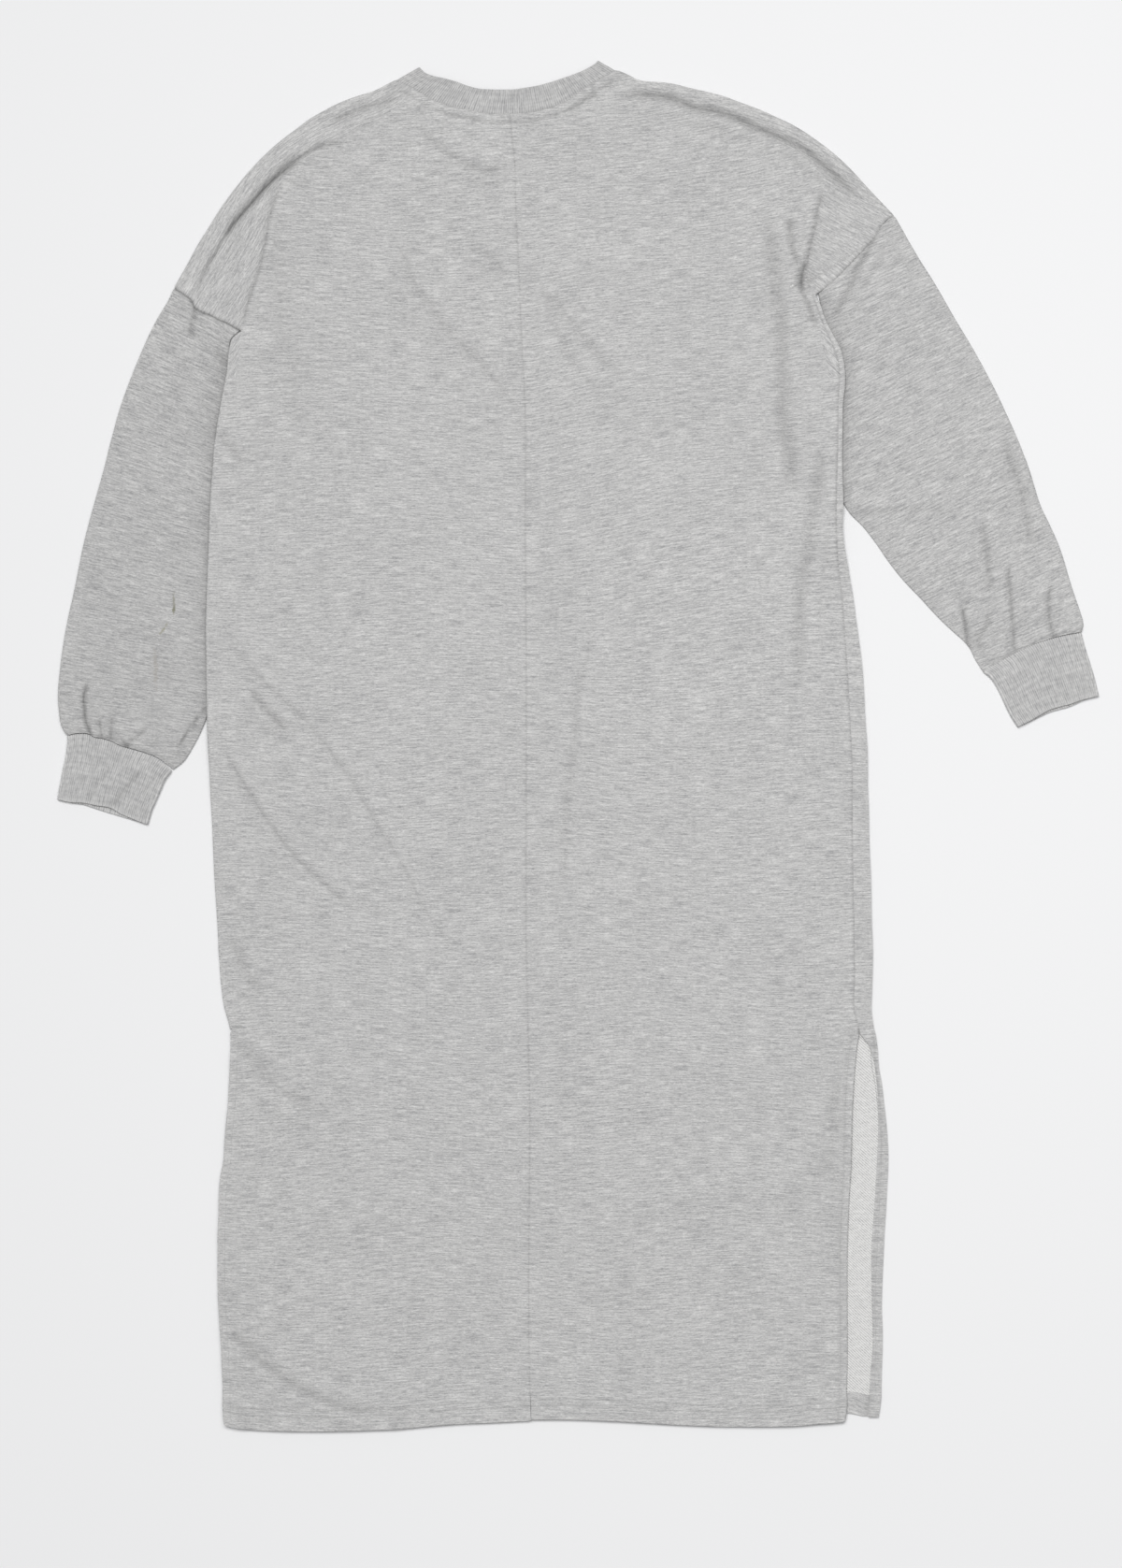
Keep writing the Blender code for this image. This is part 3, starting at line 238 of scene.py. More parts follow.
# Each sleeve's folded edges, its seam with the cuff, the cuff's end above and below, and the cuff's
# folded edges; then the line that the grain follows and the streaks' slopes down that line
SLEEVES = {
    "left": {
        "outer": ((-359.6, 410.4), (-363.6, 401.8), (-374.3, 383.8), (-382.8, 367.1), (-390, 350.4),
                  (-396.7, 333.8), (-403.1, 317.1), (-408.8, 300.4), (-413.4, 283.8),
                  (-417.8, 267.1), (-421.9, 250.4), (-426.6, 233.8), (-431.3, 217.1),
                  (-435.8, 200.4), (-439.9, 183.8), (-443.5, 167.1), (-446.8, 150.4),
                  (-450.3, 133.8), (-454.1, 117.1), (-457.2, 100.4), (-459.8, 83.8), (-461.7, 67.1),
                  (-463.2, 50.4), (-462.4, 33.8), (-459.8, 19.5), (-454.9, 11.2)),
        "inner": ((-300.3, 373), (-304, 369.6), (-308.2, 366), (-310, 358), (-308.5, 350),
                  (-304, 338), (-301, 322), (-302.5, 300), (-308, 262), (-314, 200), (-319, 140),
                  (-324, 80), (-328.5, 34), (-336.2, 13.8), (-342.9, 1.2), (-351.6, -12.1),
                  (-360.5, -19)),
        "seam": ((-454.9, 11.2), (-447.3, 13), (-434.6, 12.3), (-431, 10.2), (-423.4, 8.9),
                 (-414.9, 6.3), (-408.1, 2.8), (-400.4, 0.6), (-387.9, -2.9), (-378.3, -6.2),
                 (-368.2, -12.6), (-360.5, -19)),
        "end": ((-463.8, -45.7), (-451.5, -48.1), (-440.4, -48.6), (-430.4, -50.6), (-414.9, -53.6),
                (-408, -57.9), (-399.6, -61.5), (-392.1, -64.6), (-383, -67.9)),
        "under_end": ((-463.8, -45.7), (-451.5, -48.6), (-440.4, -50.2), (-432.1, -52.8),
                      (-422.1, -56), (-407.9, -60.3), (-399.6, -62.8), (-392.1, -65.2),
                      (-383, -67.9)),
        "cuff_outer": ((-454.9, 11), (-454.7, 7), (-455.8, -4.6), (-459.2, -21.2), (-462.1, -36),
                       (-463.8, -45.7)),
        "cuff_inner": ((-361.5, -20), (-367.3, -27.5), (-371.6, -37.7), (-376.1, -47.9),
                       (-379.6, -56), (-383, -67.9)),
        "centre_line": ((-330, 391), (-350, 330), (-372, 250), (-390, 160), (-400, 70), (-407, 3)),
        "slope": (-0.5, -0.42, -0.32, -0.22, -0.15, -0.12),
    },
    "right": {
        "outer": ((282.9, 474.6), (287.4, 467.1), (296.8, 450.4), (306.7, 433.8), (317.3, 417.1),
                  (327, 400.4), (336.4, 383.8), (346.5, 367.1), (356.3, 350.4), (365.3, 333.8),
                  (373.9, 317.1), (381.7, 300.4), (389.2, 283.8), (396, 267.1), (402.3, 250.4),
                  (407.3, 233.8), (412.7, 217.1), (420.8, 200.4), (428.3, 183.8), (434.2, 167.1),
                  (439, 150.4), (444.4, 133.8), (448.3, 122.3), (450.9, 110), (449.2, 103.2)),
        "inner": ((213.6, 405.6), (215.9, 398), (217.8, 390), (218.4, 385), (218.8, 377.6),
                  (219.6, 366), (220.5, 350), (221.5, 330), (223, 300), (227, 262), (232, 232),
                  (238.4, 216.6), (243.8, 208.8), (252.5, 200.4), (265.8, 183.8), (277.3, 167.1),
                  (290.5, 150.4), (306.3, 133.8), (321.7, 117.1), (335.4, 104.1), (345, 95.4),
                  (349.8, 89.5), (354.6, 79.8), (362.1, 67.9)),
        "seam": ((449.2, 103.2), (435.8, 101), (424.4, 98.3), (414.8, 95.4), (405.2, 92),
                 (394.8, 87.2), (385.2, 82.1), (373.7, 75.6), (365.1, 71.2), (362.1, 67.9)),
        "end": ((465.1, 46.7), (450.2, 43.1), (443.5, 40.8), (436.8, 38.6), (430.1, 37),
                (420.6, 33.9), (411.9, 29), (400.4, 22.5), (392.8, 18.9)),
        "under_end": ((465.1, 46.7), (450.2, 42.2), (443.5, 39), (436.8, 36.4), (430.1, 34.6),
                      (420.6, 31.7), (411.9, 27.5), (400.4, 21.7), (392.8, 18.9)),
        "cuff_outer": ((449.6, 103), (452.1, 92.6), (456.9, 77.3), (461.7, 61.1), (465.1, 46.7)),
        "cuff_inner": ((362.4, 67.3), (367, 64.3), (371.7, 58.2), (376.6, 49.2), (381.6, 38.1),
                       (387.7, 26.5), (392.8, 18.9)),
        "centre_line": ((248, 440), (275, 380), (312, 300), (348, 220), (380, 150), (405, 90)),
        "slope": (0.42, 0.45, 0.47, 0.47, 0.45, 0.42),
    },
}
CUFF_FOLDS = {
    # a soft fold across each cuff: where it starts from the outer edge, its slant and its depth
    "left": (58.0, -0.42, 0.8),
    "right": (34.0, 0.1, 0.3),
}

# ---- grain: where the streaks turn, and where the front lies in the cloth -----------------------

GRAIN_TURN = {
    "left": ((-140, 620), (-151, 580), (-181, 556), (-223, 540), (-262, 512), (-266, 498),
             (-275, 473), (-281, 435), (-290, 417), (-294, 400), (-300, 372), (-302, 340)),
    "right": ((30, 640), (60, 583), (102, 574), (140, 560), (165, 549), (200, 530), (222, 505),
              (215, 490), (213, 464), (206, 437), (200, 416), (213, 405), (216, 380)),
}
FRONT_SHIFT = 700.0         # the front is another part of the cloth, with other streaks

# ---- creases ------------------------------------------------------------------------------------

CREASE_PULL = 9.0           # how far from a crease the grid's points are drawn towards it
TROUGH = 0.42               # share of a crease's depth below the cloth around it
RIM_HEIGHT = 0.52           # the same above it, beside the trough
DARK_TAPER = 0.12           # share of the length over which its painted shade fades at each end

# The points of a crease, the depth of its trough, its width, how much higher the cloth stands on
# the line's left (minus: on its right), and how far that reaches; then how much darker the colour
# is painted deep in the crease, as painted shade, and how wide that shows.
Crease = namedtuple("Crease", "points depth width shelf reach darkness dark_width")

BACK_CREASES = (
    (((-196, 542), (-207, 541), (-231, 535), (-254, 522), (-273, 505), (-291, 485), (-308, 465),
      (-321, 443), (-334, 420), (-341, 394)), 3.2, 2.6, -1.8, 24, 0.15, 2.3),
    (((-243, 528), (-256, 519), (-273, 505), (-291, 485), (-308, 465), (-315, 453)),
     2.2, 5, 0, 1, 0.37, 2.8),
    (((-158, 579), (-175, 575), (-199, 567), (-222, 556)), 3, 4, -0.8, 14, 0.18, 3.4),
    (((-262, 506), (-268, 492), (-275, 473), (-278, 453), (-284, 426), (-293, 400), (-300, 372)),
     2.4, 2.4, 1.8, 26, 0.2, 2.2),
    (((-262, 467), (-262, 418), (-261, 370), (-250, 318), (-253, 267)), 2.6, 10, 0, 1, 0.05, 9),
    (((-326, 284), (-315, 274), (-306, 263), (-298, 252)), 2.6, 4.5, 0, 1, 0.14, 3.4),
    (((258, 485), (239, 502), (220, 519), (200, 535), (177, 546), (154, 556), (130, 566),
      (104, 571), (81, 580), (57, 583), (31, 581)), 4, 4.2, -1.7, 22, 0.3, 4.2),
    (((170, 488), (172, 461), (175, 434), (177, 407), (181, 380), (183, 353), (185, 325),
      (184, 298), (188, 271), (191, 244), (190, 217)), 4, 7, 0, 1, 0.165, 5.5),
    (((220, 275), (217, 250), (215, 225), (209, 200), (206, 176), (202, 150), (200, 125),
      (199, 100), (195, 50)), 3.6, 6, 0, 1, 0.13, 4.5),
    (((189, 475), (190, 459), (193, 443), (198, 427)), 2.6, 3, 0, 1, 0.24, 3),
    (((222, 500), (217, 490), (213, 471), (207, 442), (203, 426), (199, 412)),
     3, 2.6, -1.2, 9, 0.22, 2),
    (((200, 424), (200, 416), (202, 406), (208, 390), (214, 372)), 3.2, 2.8, 0, 1, 0.19, 2),
    (((203, 434), (200, 420), (200, 406)), 3, 3, 0, 1, 0.32, 2.2),
    (((-171, 462), (-156, 441), (-147, 415), (-132, 394), (-117, 373), (-99, 354), (-80, 335),
      (-64, 315), (-47, 295)), 2, 4.5, 0, 1, 0.1, 4),
    (((-36, 413), (-15, 391), (5, 366), (25, 344), (46, 325)), 1.9, 4.5, 0, 1, 0.09, 4),
    (((-27, 407), (-20, 380), (-10, 353), (7, 330), (26, 308)), 1.4, 4, 0, 1, 0.05, 4),
    (((-98, 449), (-85, 442), (-74, 432), (-63, 420)), 1.8, 4, 0, 1, 0.08, 3),
    (((-321, 121), (-310, 98), (-297, 78), (-280, 60), (-265, 45), (-244, 25), (-227, 5),
      (-212, -15), (-197, -37), (-184, -60), (-171, -81), (-157, -103), (-146, -126), (-134, -147),
      (-119, -168), (-103, -189)), 1.8, 2.6, 0.5, 25, 0.09, 1.8),
    (((-292, 54), (-288, 47), (-280, 38), (-272, 28), (-263, 19), (-258, 14)),
     3, 3, 0, 1, 0.23, 2.2),
    (((-317, 8), (-313, -4), (-300, -27), (-286, -50), (-271, -72), (-255, -93), (-236, -112),
      (-216, -130), (-195, -147)), 2.2, 2.6, 0.4, 25, 0.15, 1.8),
    (((-312, -165), (-302, -184), (-293, -203), (-278, -222)), 2.8, 5, 0, 1, 0.12, 4.5),
    (((-306, -256), (-291, -277), (-275, -298), (-253, -313), (-231, -325)),
     3.2, 6, 0, 1, 0.1, 4.5),
    (((-312, -506), (-309, -515), (-293, -535), (-274, -552), (-254, -567), (-231, -579),
      (-207, -588), (-170, -589)), 2.8, 5.4, 0.5, 40, 0.155, 3.8),
    (((13, 100), (8, 74), (1, 49), (0, 23), (-3, -3), (-6, -29), (-9, -54), (-10, -80), (-10, -106),
      (-10, -133)), 2.2, 4.5, 0, 1, 0.08, 3.2),
    (((231, -291), (231, -316), (229, -341), (226, -366), (222, -391)), 3, 8, 0, 1, 0.08, 6),
    (((-145, 556), (-127, 538), (-106, 524), (-83, 514), (-60, 521)), 2.2, 3.5, 0, 1, 0.11, 3.2),
    (((-10, 567.5), (-2.4, 571.6), (2.9, 574.6), (7.6, 578.7), (14, 581.6), (18.8, 584.6)),
     0.5, 1.6, 0, 1, 0.3, 1.6),
)
SLEEVE_CREASES = {
    "left": (
        (((-436, 60), (-440, 46), (-439.5, 34), (-437, 21), (-432, 8)), 3.6, 2.4, 0, 1, 0.46, 1.5),
        (((-426, 28), (-424, 8)), 2.4, 2.2, 0, 1, 0.27, 1.5),
        (((-414, 29), (-416, 15), (-416, 7)), 2.4, 2.6, 0, 1, 0.28, 2.2),
        (((-384, 18), (-391, 12), (-398, 6), (-405, 0)), 2.6, 2.8, 0, 1, 0.24, 2.2),
        (((-406, 7), (-402, 3), (-399, 1)), 1, 2.4, 0, 1, 0.3, 2.2),
        (((-318, 57), (-329, 40), (-337, 30), (-345, 18.5), (-352, 8), (-358, -1)),
         0.9, 1.4, 0, 1, 0.38, 0.9),
        (((-377, 92), (-360, 55)), 1, 5, 0, 1, 0.06, 5),
        (((-341, 400), (-341, 389), (-343, 377), (-343, 365)), 2.4, 2.2, 0, 1, 0.2, 2.4),
        (((-322, 352), (-318, 349), (-311, 343)), 2.4, 3, 0, 1, 0.22, 2.6),
    ),
    "right": (
        (((268, 460), (254, 434), (241, 407), (227, 381)), 3.4, 4, 0.9, 18, 0.22, 2.6),
        (((378, 283), (387, 255), (396, 230), (400, 211), (402, 195), (404, 178)),
         2.6, 3.4, 0, 1, 0.16, 3.2),
        (((361, 205), (364, 183), (367, 161), (369, 138)), 2.8, 4, 0, 1, 0.18, 3.4),
        (((384, 166), (386, 140), (388, 112), (389, 82)), 2.8, 3.2, 0, 1, 0.27, 1.9),
        (((422, 148), (420, 131), (421, 113), (427, 91)), 2.6, 3.2, 0, 1, 0.26, 2.2),
        (((365, 121), (366, 109), (359, 99), (358, 87)), 2.4, 3, 0, 1, 0.18, 2.8),
        (((343, 128), (345, 114), (347, 99), (350, 83)), 3, 2.6, 0.6, 10, 0.38, 1.9),
        (((244, 213), (268, 210), (293, 211), (319, 211), (344, 207)), 1.6, 3.5, 0, 1, 0.1, 3.4),
    ),
}
CUFF_CREASES = (
    # painted shade only: a fold's line across the left cuff, with no trough of its own
    (((-417, -52), (-408, -42), (-399, -31), (-389, -19)), 0, 1, 0, 1, 0.2, 2),
)
FRONT_CREASES = (
    (((-120, 430), (-40, 330), (30, 250)), -0.7, 7, 0, 1, 0, 5),
    (((60, 470), (110, 400), (130, 300)), -0.6, 8, 0, 1, 0, 5),
    (((-230, 20), (-170, -80), (-110, -170)), -0.8, 6, 0, 1, 0, 5),
    (((40, 60), (30, -60), (44, -160)), -0.6, 8, 0, 1, 0, 5),
    (((150, -90), (120, -210), (130, -320)), -0.7, 8, 0, 1, 0, 5),
    (((-240, -380), (-160, -430), (-80, -440)), -0.6, 9, 0, 1, 0, 5),
)
SLEEVE_UNDER_CREASES = {
    "left": (
        (((-360, 330), (-380, 260), (-384, 190)), -0.6, 6, 0, 1, 0, 5),
        (((-420, 110), (-400, 60), (-404, 25)), -0.7, 5, 0, 1, 0, 5),
    ),
    "right": (
        (((300, 380), (330, 320), (340, 260)), -0.6, 6, 0, 1, 0, 5),
        (((400, 190), (392, 140), (400, 105)), -0.7, 5, 0, 1, 0, 5),
    ),
}

# ---- lines and distances ------------------------------------------------------------------------


def measured_along(points):
    steps = np.linalg.norm(np.diff(points, axis=0), axis=1)
    return np.concatenate([[0.0], np.cumsum(steps)])


def smooth_values(at, known_at, known):
    """Values between known ones, on a smooth curve through them."""
    known_at = np.asarray(known_at, float)
    known = np.asarray(known, float)
    slope = np.gradient(known, known_at, axis=0)
    at = np.clip(np.asarray(at, float), known_at[0], known_at[-1])
    part = np.clip(np.searchsorted(known_at, at, side="right") - 1, 0, len(known_at) - 2)
    span = known_at[part + 1] - known_at[part]
    t = (at - known_at[part]) / span
    if known.ndim > 1:
        t = t[:, None]
        span = span[:, None]
    start = known[part] * (2 * t**3 - 3 * t**2 + 1) + slope[part] * span * (t**3 - 2 * t**2 + t)
    end = known[part + 1] * (3 * t**2 - 2 * t**3) + slope[part + 1] * span * (t**3 - t**2)
    return start + end


def path(points, fractions):
    """Points at fractions of the length of a smooth curve."""
    points = np.asarray(points, float)
    along = measured_along(points)
    fine = smooth_values(np.linspace(0, along[-1], 1200), along, points)
    length = measured_along(fine)
    wanted = np.asarray(fractions, float) * length[-1]
    return np.stack([np.interp(wanted, length, fine[:, k]) for k in (0, 1)], axis=1)


def even_path(points, count):
    return path(points, np.linspace(0, 1, count))


def x_at(line, heights):
    line = np.asarray(line, float)
    return smooth_values(heights, line[:, 1], line[:, 0])


def unit(vectors):
    vectors = np.asarray(vectors, float)
    return vectors / np.linalg.norm(vectors, axis=-1, keepdims=True)


def beside(points, towards_left):
    along = unit(np.gradient(points, axis=0))
    left = np.stack([-along[:, 1], along[:, 0]], axis=1)
    return left if towards_left else -left


def fade(value):
    """1 at 0 and below, 0 at 1 and above, smooth between."""
    t = np.clip(value, 0, 1)
    return 1 - t * t * (3 - 2 * t)


def bell(distance, width):
    """1 at distance 0, and next to nothing from twice the width."""
    return np.exp(-((distance / width) ** 2))


def between(points, across, first, last):
    """Points along a curve whose ends are moved to first and last, evenly between them."""
    points = np.asarray(points, float)
    length = measured_along(points)[-1]
    start = np.linalg.norm(first - points[0]) / length
    end = np.linalg.norm(last - points[-1]) / length
    across = np.asarray(across, float)
    line = path(points, start + across * (1 - start - end))
    t = across[:, None]
    return line + (1 - t) * (first - line[0]) + t * (last - line[-1])


def eased(outward, target, distances, reach):
    """Directions that turn to target as the distance falls to 0."""
    share = fade(np.asarray(distances) / reach)[:, None]
    return unit(outward * (1 - share) + np.asarray(target) * share)


def nearest_on(line, x, y):
    """For each place: distance to the line, the side it lies on (+1 is the line's left) and how
    far along the line, from 0 to 1."""
    best = np.full(x.shape, np.inf)
    side = np.ones(x.shape)
    where = np.zeros(x.shape)
    starts = measured_along(line)
    for k, (a, b) in enumerate(zip(line[:-1], line[1:])):
        run = b - a
        t = np.clip(((x - a[0]) * run[0] + (y - a[1]) * run[1]) / (run @ run), 0, 1)
        dx = x - a[0] - t * run[0]
        dy = y - a[1] - t * run[1]
        gap = np.hypot(dx, dy)
        closer = gap < best
        best = np.where(closer, gap, best)
        side = np.where(closer, np.where(run[0] * dy - run[1] * dx >= 0, 1.0, -1.0), side)
        where = np.where(closer, (starts[k] + t * (starts[k + 1] - starts[k])) / starts[-1], where)
    return best, side, where


def close_to(line, x, y, reach):
    """True at the places inside the line's box, widened by reach."""
    low = line.min(axis=0) - reach
    high = line.max(axis=0) + reach
    return (x > low[0]) & (x < high[0]) & (y > low[1]) & (y < high[1])


def near_line(line, x, y, reach):
    """Distance and side, worked out only where they can matter; far places get an endless
    distance."""
    near = close_to(line, x, y, reach)
    gap = np.full(x.shape, ENDLESS)
    side = np.ones(x.shape)
    if near.any():
        gap[near], side[near], _ = nearest_on(line, x[near], y[near])
    return gap, side


def above_hem(hem, x, y):
    return y - np.interp(x, hem[:, 0], hem[:, 1])


def steps_between(start, end, step):
    """Even steps from start to end, of about this size, end included."""
    return np.linspace(start, end, max(2, int(round(abs(end - start) / step)) + 1))


# ---- lines that many pieces share ---------------------------------------------------------------


def body_outline(side):
    """The body's folded side with the underarm, and the shoulder's fold with the sleeve's."""
    heights = np.linspace(SLIT_TOP, SIDE_TOP, 90)
    sides = np.stack([x_at(EDGE[side], heights), heights], axis=1)
    folded = np.concatenate([sides, even_path(UNDERARM[side], 20)[1:]])
    top = np.concatenate([even_path(SHOULDER[side], 60),
                          even_path(SLEEVES[side]["outer"], 60)[1:]])
    return folded, top


OUTLINES = {side: body_outline(side) for side in SIDES}
ARMHOLES = {side: even_path(ARMHOLE[side], 40) for side in SIDES}
BACK_NECK = np.concatenate([even_path(NECK_SEAM["left"], 60)[::-1],
                            even_path(NECK_SEAM["right"], 60)[1:]])
CENTRE_SEAM = even_path(BACK_SEAM, 90)
SIDE_SEAM = even_path(RIGHT_SEAM, 90)
BACK_HEM = np.array(HEM["left"][::-1] + HEM["right"][1:])
FRONT_HEM = np.array(FRONT_HEM_LINE["left"][::-1] + FRONT_HEM_LINE["right"][1:])


# ---- the shape of a crease ----------------------------------------------------------------------


def creases_near(table, x, y, reach, taper_part):
    """Each crease that comes within reach of some of the places: the crease, its line, which
    places, and their distance, side and share along it, with how full it is there."""
    for row in table:
        crease = Crease(*row)
        line = even_path(crease.points, 5 * len(crease.points))
        near = close_to(line, x, y, reach(crease))
        if near.any():
            gap, side, where = nearest_on(line, x[near], y[near])
            taper = 1 - fade(np.minimum(where, 1 - where) / taper_part)
            yield crease, line, near, gap, side, where, taper


def creased(table, x, y):
    """Height of the troughs and of the soft rims and shelves beside them."""
    height = np.zeros(x.shape)
    found = creases_near(table, x, y, lambda row: max(3.4 * row.width, 2.3 * row.reach), 0.2)
    for crease, _, near, gap, side, _, taper in found:
        across = gap / crease.width
        trough = TROUGH * bell(across, 1) - RIM_HEIGHT * bell(across - 1.9, 1.3)
        height[near] -= crease.depth * trough * taper
        if crease.shelf:
            up = 0.5 * (1 + np.tanh(side * np.sign(crease.shelf) * gap / (0.45 * crease.width)))
            height[near] += abs(crease.shelf) * up * bell(gap, crease.reach) * taper
    return height


def crease_shade(table, x, y):
    """The share of colour painted darker in the creases, as painted shade."""
    kept = np.ones(x.shape)
    dark = [row for row in table if Crease(*row).darkness]
    found = creases_near(dark, x, y, lambda row: 3 * row.dark_width, DARK_TAPER)
    for crease, _, near, gap, _, _, taper in found:
        kept[near] *= 1 - crease.darkness * bell(gap, crease.dark_width) * taper
    return 1 - kept


def drawn_in(plan, table):
    """The grid's points brought closer together at narrow creases, so that these come out sharp;
    points at the grid's own edges stay."""
    inside = [1 - fade(np.minimum(np.arange(n), n - 1 - np.arange(n)) / 5) for n in plan.shape[:2]]
    free = inside[0][:, None] * inside[1][None, :]
    plan = plan.copy()
    narrow = [row for row in table if Crease(*row).width <= 5]
    found = creases_near(narrow, plan[..., 0], plan[..., 1], lambda row: CREASE_PULL, DARK_TAPER)
    for _, line, near, gap, _, where, taper in found:
        along = measured_along(line)
        foot = np.stack([np.interp(where * along[-1], along, line[:, k]) for k in (0, 1)], axis=1)
        kept = np.clip(gap / CREASE_PULL, 1e-4, 1) ** 0.75
        share = (kept - 1) * taper * free[near]
        plan[near] += (plan[near] - foot) * share[:, None]
    return plan


def undulation(x, y):
    """Low soft waves that the cloth keeps however well it is smoothed."""
    random = np.random.default_rng(11)
    total = np.zeros(x.shape)
    longest = 120
    for _ in range(22):
        length = random.uniform(26, longest)
        angle = random.uniform(0, np.pi)
        phase = random.uniform(0, 2 * np.pi)
        run = x * np.cos(angle) + y * np.sin(angle)
        bend = 0.6 * np.sin((x * np.sin(angle) - y * np.cos(angle)) / length * 2 + phase * 3)
        total += np.sin(2 * np.pi * run / length + phase + bend) * length / longest
    return 0.16 * total


# ---- levels of the layers -----------------------------------------------------------------------

SEAM_LINES = (
    # line, depth of its groove, then height, distance and width of the ridge beside it, and
    # whether that is only on the line's left
    (CENTRE_SEAM, 0.6, 0.3, 3.0, 1.6, True),
    (SIDE_SEAM, 0.9, 0.5, 3.2, 1.8, True),
    (ARMHOLES["left"], 1.3, 0.35, 3.4, 1.8, False),
    (ARMHOLES["right"], 0.8, 0.35, 3.4, 1.8, False),
    (BACK_NECK, 0.9, 0.45, 3.6, 1.9, False),
    (BACK_NECK, 0, -0.45, NECK_STITCH, 1.0, False),
)


def edge_nearness(x, y):
    """1 at the folded edges of body and sleeves, 0 away from them."""
    roll = np.zeros(x.shape)
    for side in SIDES:
        for line in OUTLINES[side]:
            gap, _ = near_line(line[::2], x, y, 30)
            roll = np.maximum(roll, fade((gap - ROLL) / 25))
    return roll


def below_underarm(side, y):
    """1 at the heights where a sleeve's inner edge lies under the body, 0 above the underarm."""
    low, full = TUCK_HEIGHTS[side][:2]
    return fade((y - full) / (low - full))


def tuck_lift(x, y, reach):
    """How far the body's layers rise over the sleeves that go under them."""
    lift = np.zeros(x.shape)
    full, none = reach
    for side, inward in INWARD.items():
        exit_full, exit_low = TUCK_HEIGHTS[side][2:]
        edge = OUTLINES[side][0]
        inside = (x - np.interp(y, edge[:, 1], edge[:, 0])) * inward
        across = fade((inside - full) / (none - full))
        bottom = fade((exit_full - y) / (exit_full - exit_low))
        lift = np.maximum(lift, TUCK_RISE * across * below_underarm(side, y) * bottom)
    return lift


def seam_relief(x, y):
    """Grooves at the seams, and the small ridge that the allowance makes beside some."""
    relief = np.zeros(x.shape)
    for line, depth, ridge, offset, width, one_sided in SEAM_LINES:
        gap, side = near_line(line, x, y, 12)
        shown = side > 0 if one_sided else 1
        relief += ridge * shown * bell(gap - offset, width) - depth * np.exp(-gap / SEAM_WIDTH)
    return relief


def turn_up_lift(x, y):
    """The upper layer stands on the turn-ups below it."""
    above = above_hem(BACK_HEM, x, y) - HEM_DEPTH - 1
    in_slit = fade((y - SLIT_TOP + 25) / 45)
    left = x - x_at(EDGE["left"], y) - SLIT_TURN - 1
    right = x_at(BACK_SLIT_EDGE, y) - x - SLIT_TURN - 1
    lift = 0.2 * np.maximum(fade(above / 30), fade(left / 30) * in_slit)
    lift = np.maximum(lift, 2.3 * fade(left / 16) * fade(above / 16))
    lift = np.maximum(lift, 1.2 * fade(right / 16) * fade(above / 16))
    sag = 0.35 * fade(right / 24) * in_slit * (1 - fade((above - 4) / 24))
    return lift - sag


def hem_stitch_relief(x, y):
    """The two rows of stitches pull the hem in a little, and its raised edge shows between."""
    above = above_hem(BACK_HEM, x, y)
    rows = sum(bell(above - row, 0.9) for row in HEM_STITCHES)
    step = 0.3 * fade((above - 19.5) / 2.5)
    return step - 0.22 * rows


def upper_surface(x, y):
    """What the upper layer of backs and sleeves has in common, near the armholes too."""
    roll = edge_nearness(x, y)
    gap, _ = near_line(BACK_NECK, x, y, 20)
    level = UPPER_LEVEL + (EDGE_LEVEL - UPPER_LEVEL) * roll
    level += (RIB_UPPER - UPPER_LEVEL) * fade(gap / 18) * (1 - roll)
    level += creased(BACK_CREASES, x, y) * (1 - 0.55 * roll**2)
    level += undulation(x, y) * (1 - 0.8 * roll)
    return level + seam_relief(x, y)


def upper_level(x, y):
    level = upper_surface(x, y) + tuck_lift(x, y, BACK_REACH) + turn_up_lift(x, y)
    above = above_hem(BACK_HEM, x, y) - HEM_DEPTH - 3
    left = x - x_at(EDGE["left"], y) - SLIT_TURN - 3
    folded = np.maximum(fade(above / 6), fade(left / 6) * fade((y - SLIT_TOP + 8) / 8))
    lowest = front_level(x, y) + CLOTH + LAYER_GAP + 4 * HEM_RADIUS * folded
    level = lowest + LAYER_GAP * np.logaddexp(0, (level - lowest) / LAYER_GAP)
    return level + hem_stitch_relief(x, y)


def front_level(x, y):
    """The lower layer lies on the floor, and over the sleeves where they go under it."""
    return FLOOR_LEVEL + tuck_lift(x, y, FRONT_REACH) + creased(FRONT_CREASES, x, y).clip(0)


def outside_body(side, x, y):
    """How far outside the body's folded edge a place is; negative inside."""
    gap, facing, _ = nearest_on(OUTLINES[side][0][::2], x, y)
    return gap * facing * INWARD[side]


